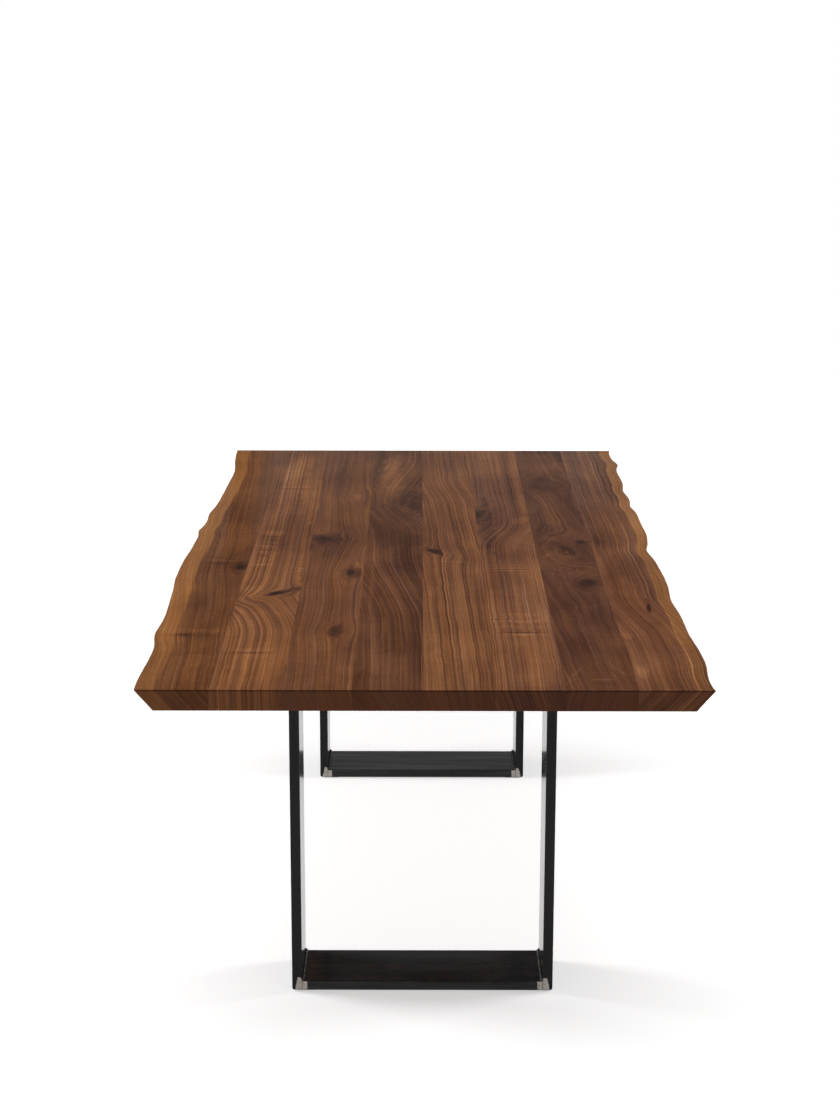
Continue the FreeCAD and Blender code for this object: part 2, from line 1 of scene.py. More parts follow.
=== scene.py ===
# %% [markdown]
# # A live edge dining table
# This lesson dresses a table that is already built to size. Its top is eight walnut staves glued edge to
# edge, and the two outer staves keep the tree's own wavy edge. Two loops of blackened flat bar carry it.
# The sizes come from the loaded frame, so each step here is about surfaces: oiled wood, steel, felt and
# small fittings.

# %% Load the frame
import math

import bpy
import bmesh
from mathutils import Matrix, Vector


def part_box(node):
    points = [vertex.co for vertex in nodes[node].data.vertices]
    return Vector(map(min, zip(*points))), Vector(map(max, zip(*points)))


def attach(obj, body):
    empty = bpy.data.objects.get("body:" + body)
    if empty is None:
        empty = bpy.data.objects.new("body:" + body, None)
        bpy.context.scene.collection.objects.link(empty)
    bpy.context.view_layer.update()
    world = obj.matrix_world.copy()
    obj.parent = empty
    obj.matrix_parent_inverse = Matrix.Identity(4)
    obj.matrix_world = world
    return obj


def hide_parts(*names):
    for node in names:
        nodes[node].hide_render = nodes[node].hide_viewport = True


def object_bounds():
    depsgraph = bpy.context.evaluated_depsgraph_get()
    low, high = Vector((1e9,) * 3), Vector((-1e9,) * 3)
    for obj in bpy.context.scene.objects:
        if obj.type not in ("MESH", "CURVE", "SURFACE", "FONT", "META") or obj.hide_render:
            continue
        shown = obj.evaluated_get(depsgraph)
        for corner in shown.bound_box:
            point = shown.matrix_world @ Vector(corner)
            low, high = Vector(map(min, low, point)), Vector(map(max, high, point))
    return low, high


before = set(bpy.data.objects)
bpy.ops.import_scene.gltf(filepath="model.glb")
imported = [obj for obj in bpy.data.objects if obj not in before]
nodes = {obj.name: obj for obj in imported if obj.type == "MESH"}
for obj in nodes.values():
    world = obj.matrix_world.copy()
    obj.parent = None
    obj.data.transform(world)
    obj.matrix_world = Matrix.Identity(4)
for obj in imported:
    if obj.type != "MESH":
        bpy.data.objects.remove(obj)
cad_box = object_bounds()
low_corner, high_corner = Vector(cad_box[0]), Vector(cad_box[1])
table_top_z, half_length = high_corner.z, high_corner.y
print(f"{len(nodes)} pieces, table {high_corner - low_corner} m")

# %% [markdown]
# ## Camera
# The picture is taken from one end of the table with a long lens, a little above the top. A camera is set
# by its place, where it points and its lens. Its rotation is built up from a turn, a tilt and a small
# roll, in that order, which is how a photographer would set a tripod head.

# %% Camera
IMAGE_HIGH_PX = 1120
FOCAL_LENGTH_PX = 2167.0
SENSOR_MM = 36.0
camera_place = Vector((-0.0093, -4.7076, 1.8708))
camera_tilt_down = 0.24113
camera_turn = -0.00074
camera_roll = 0.00196

camera_data = bpy.data.cameras.new("camera")
camera_data.sensor_width = SENSOR_MM
camera_data.lens = FOCAL_LENGTH_PX / IMAGE_HIGH_PX * SENSOR_MM
camera = bpy.data.objects.new("camera", camera_data)
bpy.context.scene.collection.objects.link(camera)
turned = Matrix.Rotation(camera_turn, 4, "Z")
tilted = Matrix.Rotation(math.pi / 2 - camera_tilt_down, 4, "X")
rolled = Matrix.Rotation(camera_roll, 4, "Z")
camera.matrix_world = Matrix.Translation(camera_place) @ turned @ tilted @ rolled
bpy.context.scene.camera = camera
print(f"camera {camera_data.lens:.1f} mm lens")

# %% [markdown]
# ## Short calls for shader nodes
# A procedural material is a graph of many small nodes. Adding each one by hand takes four or five lines,
# so this helper wraps a node tree: each call adds one node, feeds its inputs with numbers or with other
# nodes' sockets, and gives back the socket to use next.


# %% A helper that writes node graphs
class Graph:
    """Adds nodes to one tree. Names of sockets are given with _ for spaces where they are keywords."""

    def __init__(self, tree):
        self.tree = tree

    def node(self, kind, feeds=None, **settings):
        made = self.tree.nodes.new(kind)
        for name, setting in settings.items():
            setattr(made, name, setting)
        for socket, value in (feeds or {}).items():
            self.feed(made.inputs[socket], value)
        return made

    def feed(self, socket, value):
        if isinstance(value, bpy.types.NodeSocket):
            self.tree.links.new(value, socket)
        else:
            socket.default_value = value

    def math(self, operation, *values):
        return self.node("ShaderNodeMath", dict(enumerate(values)), operation=operation).outputs[0]

    def add(self, *values):
        total = values[0]
        for value in values[1:]:
            total = self.math("ADD", total, value)
        return total

    def times(self, *values):
        product = values[0]
        for value in values[1:]:
            product = self.math("MULTIPLY", product, value)
        return product

    def minus(self, a, b):
        return self.math("SUBTRACT", a, b)

    def over(self, a, b):
        return self.math("DIVIDE", a, b)

    def size(self, value):
        return self.math("ABSOLUTE", value)

    def larger(self, a, b):
        return self.math("MAXIMUM", a, b)

    def hypotenuse(self, a, b):
        return self.math("SQRT", self.add(self.times(a, a), self.times(b, b)))

    def split(self, vector):
        return self.node("ShaderNodeSeparateXYZ", {0: vector}).outputs

    def vectors(self, operation, a, b):
        return self.node("ShaderNodeVectorMath", {0: a, 1: b}, operation=operation).outputs[0]

    def normal(self):
        return self.split(self.node("ShaderNodeNewGeometry").outputs["Normal"])

    def noise(self, place, detail=2.0, roughness=0.5):
        """Cloudy noise from 0 to 1, read at a place that is already scaled."""
        feeds = {"Vector": place, "Scale": 1.0, "Detail": detail, "Roughness": roughness}
        return self.node("ShaderNodeTexNoise", feeds).outputs[0]

    def noise_over(self, place, lumps, detail=2.0, roughness=0.5):
        """The same noise over a piece, with so many lumps in a metre along x, y and z."""
        return self.noise(self.vectors("MULTIPLY", place, lumps), detail, roughness)

    def swing(self, x, y, z, detail=2.0):
        """The same noise at three coordinates, from -1 to 1."""
        place = self.node("ShaderNodeCombineXYZ", {0: x, 1: y, 2: z}).outputs[0]
        return self.math("MULTIPLY_ADD", self.noise(place, detail), 2.0, -1.0)

    def flat_swing(self, x, y, lumps, layer, detail=2.0):
        """The same swing over two directions. Another layer is another pattern."""
        return self.swing(self.times(x, lumps[0]), self.times(y, lumps[1]), layer, detail)

    def fade(self, value, start, end):
        """A smooth change from 0 at start to 1 at end. Start may lie above end."""
        feeds = {"Value": value, "From Min": start, "From Max": end}
        return self.node("ShaderNodeMapRange", feeds, interpolation_type="SMOOTHSTEP").outputs[0]

    def spread(self, value, low, high):
        """A value from 0 to 1, stretched over another range."""
        return self.node("ShaderNodeMapRange", {"Value": value, "To Min": low, "To Max": high}).outputs[0]

    def mix(self, share, a, b):
        return self.node("ShaderNodeMix", {0: share, 2: a, 3: b}, data_type="FLOAT").outputs[0]

    def blend(self, share, a, b, kind="MIX"):
        """Two colours mixed or multiplied."""
        made = self.node("ShaderNodeMix", {0: share, 6: a, 7: b}, data_type="RGBA", blend_type=kind)
        return made.outputs[2]

    def ramp(self, value, stops):
        """A colour for each place from 0 to 1, given as (place, colour) pairs."""
        made = self.node("ShaderNodeValToRGB", {0: value})
        elements = made.color_ramp.elements
        while len(elements) < len(stops):
            elements.new(1.0)
        for element, (place, colour) in zip(elements, stops):
            element.position = place
            element.color = colour
        return made.outputs[0]

    def bump(self, height, strength, distance):
        """The normal of a surface with this height on it."""
        feeds = {"Height": height, "Strength": strength, "Distance": distance}
        return self.node("ShaderNodeBump", feeds).outputs[0]

    def use(self, group, **feeds):
        """A node group placed in this tree."""
        named = {name.replace("_", " "): value for name, value in feeds.items()}
        return self.node("ShaderNodeGroup", named, node_tree=group).outputs

    def shade(self, **feeds):
        """Feeds the material's Principled shader."""
        for name, value in feeds.items():
            self.feed(self.tree.nodes["Principled BSDF"].inputs[name.replace("_", " ")], value)


print("graph helper ready")


# %% Colours as seen on screen
def srgb(red, green, blue):
    """A colour as seen on screen, 0 to 255, as the linear colour that shaders use."""
    shares = [channel / 255 for channel in (red, green, blue)]
    linear = [((share + 0.055) / 1.055) ** 2.4 if share > 0.04 else share / 12.92 for share in shares]
    return (*linear, 1.0)


print(f"screen grey 128 is {srgb(128, 128, 128)[0]:.3f} in linear light")

# %% Empty groups and materials
VECTOR_SOCKETS = ("Place", "Centre", "Half Size", "Along")


def new_group(name, inputs, outputs):
    """An empty shader group, its graph helper and its inputs by name."""
    tree = bpy.data.node_groups.new(name, "ShaderNodeTree")
    sockets = [(socket, "INPUT") for socket in inputs] + [(socket, "OUTPUT") for socket in outputs]
    for socket, way in sockets:
        kind = "NodeSocketVector" if socket in VECTOR_SOCKETS else "NodeSocketFloat"
        kind = "NodeSocketColor" if socket == "Color" else kind
        tree.interface.new_socket(socket, in_out=way, socket_type=kind)
    return tree, Graph(tree), tree.nodes.new("NodeGroupInput").outputs


def finish_group(graph, **results):
    """Feeds a group's outputs."""
    graph.node("NodeGroupOutput", {name.replace("_", " "): value for name, value in results.items()})
    print(f"group {graph.tree.name} gives {', '.join(results)}")


def new_material(name):
    """A material with a Principled shader, its graph helper and the object's own coordinates."""
    material = bpy.data.materials.new(name)
    material.use_nodes = True
    graph = Graph(material.node_tree)
    return material, graph, graph.node("ShaderNodeTexCoord").outputs["Object"]


# %% [markdown]
# ## White floor
# The table stands on a white studio floor. The white comes from what the camera sees of the floor: rays
# from the camera, and reflections, find a glow on it, and light that bounces about finds a plain pale
# floor. So the wood is lit at a plain level and the table's shadow still shows. Far from the table the
# glow alone makes the floor white, and it runs into the sky without an edge.

# %% White floor
FLOOR_SIZE = 60.0
WHITE = (1.0, 1.0, 1.0, 1.0)
floor_white = (0.8, 0.8, 0.8, 1.0)
floor_glow = 0.51
all_white_from, all_white_to = 2.0, 4.5


def glowing(graph, strength):
    """A white glow."""
    return graph.node("ShaderNodeEmission", {"Color": WHITE, "Strength": strength}).outputs[0]


def show(stage_piece, name, material, shader):
    """Names a piece of the studio and gives it a material that ends in this shader."""
    surface = material.node_tree.nodes["Material Output"].inputs["Surface"]
    material.node_tree.links.new(shader, surface)
    stage_piece.name = name
    stage_piece.data.materials.append(material)


bpy.ops.object.select_all(action="DESELECT")
bpy.ops.mesh.primitive_plane_add(size=FLOOR_SIZE, location=(0, 0, 0))
floor = bpy.context.object
floor_material, graph, place = new_material("studio_floor")
x, y, z = graph.split(place)
away = graph.fade(graph.hypotenuse(x, y), all_white_from, all_white_to)
plain = graph.node("ShaderNodeBsdfDiffuse", {"Color": floor_white}).outputs[0]
glow = glowing(graph, graph.mix(away, floor_glow, 1.0))
seen = graph.node("ShaderNodeAddShader", {0: glow, 1: plain}).outputs[0]
path = graph.node("ShaderNodeLightPath").outputs
mirrored = graph.larger(path["Is Glossy Ray"], path["Is Transmission Ray"])
seen_directly = graph.larger(path["Is Camera Ray"], mirrored)
mixed = graph.node("ShaderNodeMixShader", {0: seen_directly, 1: plain, 2: seen}).outputs[0]
show(floor, "studio_floor", floor_material, mixed)
print(f"floor {FLOOR_SIZE:.0f} m wide")

# %% [markdown]
# ## Backdrop and sky
# Oiled wood mirrors what stands behind it, most of all where it is seen at a low angle. A low pale backdrop
# behind the table gives the far end of the top its soft haze, and the near end mirrors the dim sky above
# it. The camera itself sees both as plain white.

# %% Backdrop and sky
backdrop_place = Vector((0.0, 5.5, 0.89))
backdrop_width, backdrop_height = 40.0, 1.78
backdrop_reflected = 0.32
sky_strength = 0.22
sky_reflected = 0.015

bpy.ops.object.select_all(action="DESELECT")
bpy.ops.mesh.primitive_plane_add(size=1.0, location=backdrop_place, rotation=(math.pi / 2, 0, 0))
backdrop = bpy.context.object
backdrop.scale = (backdrop_width, backdrop_height, 1.0)
bpy.ops.object.transform_apply(location=True, rotation=True, scale=True)
backdrop.visible_shadow = False
backdrop.visible_diffuse = False
backdrop_material, graph, place = new_material("studio_backdrop")
path = graph.node("ShaderNodeLightPath").outputs
glow = glowing(graph, graph.mix(path["Is Camera Ray"], backdrop_reflected, 1.0))
show(backdrop, "studio_backdrop", backdrop_material, glow)

world = bpy.data.worlds.new("studio")
bpy.context.scene.world = world
world.use_nodes = True
graph = Graph(world.node_tree)
path = graph.node("ShaderNodeLightPath").outputs
lit = graph.mix(path["Is Glossy Ray"], sky_strength, sky_reflected)
sky = world.node_tree.nodes["Background"].inputs
graph.feed(sky["Color"], WHITE)
graph.feed(sky["Strength"], graph.mix(path["Is Camera Ray"], lit, 1.0))
print(f"backdrop {backdrop_width:.0f} x {backdrop_height:.2f} m, sky {sky_strength}")

# %% [markdown]
# ## Soft lights
# Two large soft boxes at the sides throw the legs' faint shadows both ways, and one above lights the top.
# An area lamp is such a box: the larger it is, the softer its shadow. They are hidden from the camera and
# from reflections, because the real boxes don't show in the oiled top.


# %% Soft lights
def soft_light(name, place, target, width, height, watts):
    """A rectangular soft box that faces a target."""
    data = bpy.data.lights.new(name, "AREA")
    data.shape = "RECTANGLE"
    data.size = width
    data.size_y = height
    data.energy = watts
    light = bpy.data.objects.new(name, data)
    light.location = place
    light.rotation_euler = (Vector(target) - Vector(place)).to_track_quat("-Z", "Y").to_euler()
    light.visible_camera = False
    light.visible_glossy = False
    bpy.context.scene.collection.objects.link(light)
    print(f"{name} {watts} W")


soft_light("overhead_box", (0.0, -0.9, 3.2), target=(0.0, -0.45, 0.75), width=2.6, height=3.4, watts=48)
soft_light("right_box", (3.0, 0.3, 1.9), target=(0.0, 0.0, 0.4), width=1.2, height=1.2, watts=46)
soft_light("left_box", (-3.0, 0.3, 1.9), target=(0.0, 0.2, 0.4), width=1.2, height=1.2, watts=68)
bpy.context.scene.view_settings.view_transform = "Standard"

# %% [markdown]
# ## How walnut grows
# The lines on a walnut board are slices through the tree's growth rings, so the same lines must run over
# the top, down the ends and along the underside. A painted picture can't do that. These groups give each
# point in the wood a growth distance instead, and the colour follows it. The first group lets the grain
# sway and swirl. The others bend it round a knot and make the cross ripples of curly wood, and both ask a
# small group how near their spot on the board is.

# %% Grain that sways
slow_lumps, quick_lumps, swirl_lumps = (1.5, 0.9), (7.0, 3.2), (14.0, 12.0)
quick_layer, quick_share = 7.0, 0.35
swirl_through = 6.0

sway_group, graph, given = new_group("grain_sway", ("Place", "Seed", "Sway", "Swirl", "Lean"), ("Across",))
x, y, z = graph.split(given["Place"])
seed = given["Seed"]
slow = graph.flat_swing(x, y, slow_lumps, seed, detail=1.0)
quick = graph.flat_swing(x, y, quick_lumps, graph.add(seed, quick_layer), detail=1.0)
swirl_layer = graph.add(graph.times(z, swirl_through), seed)
swirled = graph.flat_swing(x, y, swirl_lumps, swirl_layer, detail=1.5)
swayed = graph.times(given["Sway"], graph.add(slow, graph.times(quick, quick_share)))
across = graph.add(x, swayed, graph.times(given["Swirl"], swirled), graph.times(given["Lean"], y))
finish_group(graph, Across=across)

# %% How near a spot on the board is
spot_group, graph, given = new_group(
    "spot_on_board",
    ("Place", "Centre", "Half Size", "Slant"),
    ("Distance",),
)
feeds = {"Vector": given["Place"], "Center": given["Centre"], "Angle": given["Slant"]}
turned = graph.node("ShaderNodeVectorRotate", feeds, rotation_type="Z_AXIS").outputs[0]
off = graph.vectors("DIVIDE", graph.vectors("SUBTRACT", turned, given["Centre"]), given["Half Size"])
distance = graph.node("ShaderNodeVectorMath", {0: off}, operation="LENGTH").outputs["Value"]
finish_group(graph, Distance=distance)

# %% Grain that goes round a knot
knot_ragged, knot_reach, halo_rings = 0.6, 0.6, 0.5
halo_fades, core_fades, heart_fades = (2.3, 0.7), (1.2, 0.7), (0.6, 0.3)
core_dark, heart_dark = 0.6, 0.4

knot_group, graph, given = new_group(
    "grain_round_knot",
    ("Place", "Across", "Centre", "Half Size", "Slant", "Ragged"),
    ("Across", "Core", "Halo"),
)
place, centre, half_size = given["Place"], given["Centre"], given["Half Size"]
spot = graph.use(spot_group, Place=place, Centre=centre, Half_Size=half_size, Slant=given["Slant"])
distance = graph.larger(graph.add(spot["Distance"], graph.times(given["Ragged"], knot_ragged)), 0.0)
knot_x = graph.split(centre)[0]
from_x = graph.minus(graph.split(place)[0], knot_x)
reach = graph.times(distance, knot_reach)
push = graph.over(1.0, graph.add(1.0, graph.times(reach, reach)))
bent = graph.minus(given["Across"], graph.times(from_x, push))
ringed = graph.add(knot_x, graph.times(distance, graph.split(half_size)[0]))
halo = graph.fade(distance, *halo_fades)
core = graph.times(graph.fade(distance, *core_fades), core_dark)
core = graph.add(core, graph.times(graph.fade(distance, *heart_fades), heart_dark))
finish_group(graph, Across=graph.mix(graph.times(halo, halo_rings), bent, ringed), Core=core, Halo=halo)

# %% Cross ripples
ripple_ragged, ripple_fades = 0.3, (1.1, 0.5)
drift_lumps, drift_layer, drift_waves = (9.0, 7.0), 11.0, 0.9

ripple_group, graph, given = new_group(
    "cross_ripples",
    ("Place", "Across", "Centre", "Half Size", "Ragged", "Depth", "Spacing"),
    ("Across", "Shade"),
)
x, y, z = graph.split(given["Place"])
spot = graph.use(spot_group, Place=given["Place"], Centre=given["Centre"], Half_Size=given["Half Size"])
distance = graph.add(spot["Distance"], graph.times(given["Ragged"], ripple_ragged))
drift = graph.flat_swing(x, y, drift_lumps, drift_layer, detail=1.0)
phase = graph.add(graph.over(y, given["Spacing"]), graph.times(drift, drift_waves))
wave = graph.times(graph.math("SINE", graph.times(phase, 2 * math.pi)), graph.fade(distance, *ripple_fades))
finish_group(graph, Across=graph.add(given["Across"], graph.times(wave, given["Depth"])), Shade=wave)

# %% [markdown]
# ## Lines and pores of walnut
# A year's ring starts pale and ends dark. If every ring were the same, the board would look like striped
# cloth, so White Noise on the ring's number gives each ring a pale side, a dark side and a tone of its own
# strength, and some of its own hue. Bands, streaks and fine threads of noise lie over the rings, drawn out
# along them. Pores are short strokes along the board, so on its ends they shrink to dots by themselves.

# %% Noise along the growth lines
lines_group, graph, given = new_group(
    "walnut_lines",
    ("Place", "Growth", "Seed", "Ring Width", "Uneven", "Bands", "Streaks", "Threads", "Rings"),
    ("Tone", "Pores", "Hue"),
)
x, y, z = graph.split(given["Place"])
growth, seed = given["Growth"], given["Seed"]


def along_lines(across_lumps, along_lumps, layer, detail=1.0):
    """Noise from -1 to 1 that is drawn out along the growth lines, with so many lumps in a metre."""
    return graph.flat_swing(growth, y, (across_lumps, along_lumps), graph.add(seed, layer), detail)


band = along_lines(26.0, 1.2, layer=0.0)
streak = along_lines(110.0, 1.8, layer=3.0, detail=2.0)
thread = along_lines(300.0, 0.9, layer=13.0, detail=3.0)
fibre = graph.swing(graph.times(growth, 900.0), graph.times(y, 16.0), graph.times(z, 30.0))
cloud = graph.flat_swing(x, y, (8.0, 4.0), graph.add(seed, 21.0))
mottle = graph.flat_swing(x, y, (26.0, 55.0), graph.add(seed, 25.0))
pores = graph.fade(graph.noise_over(given["Place"], (1500.0, 55.0, 1500.0), detail=0.0), 0.66, 0.78)
print("bands, streaks, threads, fibres, clouds, mottle and pores")

# %% Rings of their own strength
early_fades, early_tone = (0.30, 0.02), 1.4
late_power, late_tone = 3.0, -1.3
chance_power = 1.5
ring_tones, ring_middle = 0.7, -0.28
weakest_ring = 0.4

slip = graph.times(along_lines(40.0, 0.9, layer=5.0, detail=2.0), given["Uneven"], 0.5)
years = graph.add(graph.over(growth, given["Ring Width"]), slip)
year = graph.math("FRACT", years)
ring_number = graph.add(graph.math("FLOOR", years), seed)
chances = graph.node("ShaderNodeTexWhiteNoise", {"W": ring_number}, noise_dimensions="1D")
early_chance, late_chance, own_chance = graph.split(chances.outputs["Color"])
early = graph.math("POWER", early_chance, chance_power)
early = graph.times(graph.fade(year, *early_fades), early, early_tone)
late = graph.math("POWER", late_chance, chance_power)
late = graph.times(graph.math("POWER", year, late_power), late, late_tone)
own_tone = graph.math("MULTIPLY_ADD", own_chance, ring_tones, ring_middle)
strong = graph.spread(graph.fade(along_lines(60.0, 3.0, layer=9.0), -0.4, 0.4), weakest_ring, 1.0)
ring = graph.times(graph.add(early, late, own_tone), strong)
print("rings: pale early wood, dark late wood and a tone of their own")

# %% Tone and hue of the lines
fibre_tone, cloud_tone, mottle_tone, pore_tone = 0.14, 0.24, 0.05, -0.08
fine_hue, ring_hue, hue_change = 0.9, 0.4, 0.46

tone = graph.add(
    graph.times(band, given["Bands"]),
    graph.times(streak, given["Streaks"]),
    graph.times(thread, given["Threads"]),
    graph.times(ring, given["Rings"]),
    graph.times(fibre, fibre_tone),
    graph.times(cloud, cloud_tone),
    graph.times(mottle, mottle_tone),
    graph.times(pores, pore_tone),
)
hue = graph.add(
    along_lines(14.0, 1.5, layer=31.0),
    graph.times(along_lines(90.0, 1.2, layer=37.0), fine_hue),
    graph.times(graph.minus(early_chance, late_chance), ring_hue),
)
finish_group(graph, Tone=tone, Pores=pores, Hue=graph.math("MULTIPLY_ADD", hue, hue_change, 0.5))

# %% [markdown]
# ## Colour of walnut
# The tone picks a colour between dark umber and tan, and the hue leans it towards orange or towards a
# purplish brown. Sapwood is paler, knots are nearly black, and end grain soaks up more oil. The small
# rounded arris along a board's end, and the end just below it, are painted darker: painted shade for the
# thin dark line that the arris shows where it catches little light.

# %% The colour of each tone
heartwood_tones = (
    (0.00, srgb(55, 31, 20)),
    (0.25, srgb(81, 49, 31)),
    (0.50, srgb(110, 70, 42)),
    (0.75, srgb(140, 92, 54)),
    (1.00, srgb(172, 121, 73)),
)
sapwood_tones = ((0.00, srgb(92, 57, 32)), (0.50, srgb(144, 94, 52)), (1.00, srgb(182, 132, 80)))
knot_brown, knot_share = srgb(35, 26, 19), 0.88
rosy_tint = (0.98, 1.03, 1.50, 1.0)
warm_tint = (1.06, 0.975, 0.78, 1.0)
cool_tint = (0.955, 0.995, 1.22, 1.0)
end_grain_tint = (1.00, 0.99, 1.12, 1.0)
arris_painted_shade = (0.45, 0.42, 0.42, 1.0)
oil_roughness, pore_roughness, end_roughness = 0.25, 0.2, 0.12
tone_relief = 0.25
end_fades = (0.5, 0.9)
arris_from, arris_to = (0.05, 0.3), (0.98, 0.8)


def facing_end(graph):
    """1 on the ends of a board and 0 on its long faces."""
    return graph.size(graph.normal()["Y"])


colour_group, graph, given = new_group(
    "walnut_colour",
    ("Tone", "Rosy", "Hue", "Sapwood", "Knot", "Pores", "Rim"),
    ("Color", "Roughness", "Height"),
)
heart = graph.ramp(given["Tone"], heartwood_tones)
heart = graph.blend(given["Rosy"], heart, rosy_tint, "MULTIPLY")
heart = graph.blend(1.0, heart, graph.blend(given["Hue"], warm_tint, cool_tint), "MULTIPLY")
colour = graph.blend(given["Sapwood"], heart, graph.ramp(given["Tone"], sapwood_tones))
colour = graph.blend(graph.times(given["Knot"], knot_share), colour, knot_brown)
facing = facing_end(graph)
end = graph.fade(facing, *end_fades)
colour = graph.blend(end, colour, end_grain_tint, "MULTIPLY")
# Painted shade along the rounded arris and on the end just below the top.
arris = graph.times(graph.fade(facing, *arris_from), graph.fade(facing, *arris_to))
arris = graph.larger(arris, graph.times(given["Rim"], end))
colour = graph.blend(arris, colour, arris_painted_shade, "MULTIPLY")
rougher = graph.add(graph.times(given["Pores"], pore_roughness), graph.times(end, end_roughness))
roughness = graph.add(rougher, oil_roughness)
height = graph.minus(graph.times(given["Tone"], tone_relief), given["Pores"])
finish_group(graph, Color=colour, Roughness=roughness, Height=height)

# %% [markdown]
# ## Where the live edge runs
# In the outer staves the rings run parallel to the tree's own edge, and so does the border between pale
# sapwood and dark heartwood. The shader needs to know how far the edge is from the table's middle at each
# place along it. That is read from the stave's own outline and kept in a curve node.

# %% Measure a live edge
same_level = 1e-4


def live_edge_outline(node, side):
    """How far out the top outline of an outer stave lies, as (y, outward) pairs from end to end."""
    seam = min(abs(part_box(node)[0][0]), abs(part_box(node)[1][0]))
    points = {}
    for vertex in nodes[node].data.vertices:
        spot = nodes[node].matrix_world @ vertex.co
        outward = side * spot.x
        if spot.z > table_top_z - same_level and outward > seam + same_level:
            points[round(spot.y, 5)] = max(outward, points.get(round(spot.y, 5), 0.0))
    outline = sorted(points.items())
    return [(-half_length, outline[0][1])] + outline + [(half_length, outline[-1][1])]


def outline_at(outline, y):
    """The outline's distance from the middle at one place along the table."""
    for (y_0, out_0), (y_1, out_1) in zip(outline, outline[1:]):
        if y_0 <= y <= y_1:
            share = (y - y_0) / max(y_1 - y_0, same_level)
            return out_0 + (out_1 - out_0) * share
    return outline[-1][1]


outlines = {
    "left_live_edge_stave": live_edge_outline("left_live_edge_stave", -1),
    "right_live_edge_stave": live_edge_outline("right_live_edge_stave", 1),
}
for node, outline in outlines.items():
    reach = [out for _, out in outline]
    print(f"{node}: {len(outline)} points, {min(reach):.3f} to {max(reach):.3f} m out")

# %% [markdown]
# ## One recipe for each stave
# Every stave came from another board, so each has its own tone, ring width, pith and figure. The pith is
# the tree's middle: far to one side it gives straight lines, and just below the board it gives arches.
# Shifts let the lines slip sideways between two places along the board. Knots, smears and ripples are
# given by their middle and half size, and smears by how much they darken or lighten the tone. The long
# smears as wide as a stave are painted light and shade along the top, mostly paler towards the ends and
# darker in the middle. A table of numbers is the easiest to try out and to change, one stave at a time.

# %% Stave recipes, in millimetres and degrees
MM = 0.001
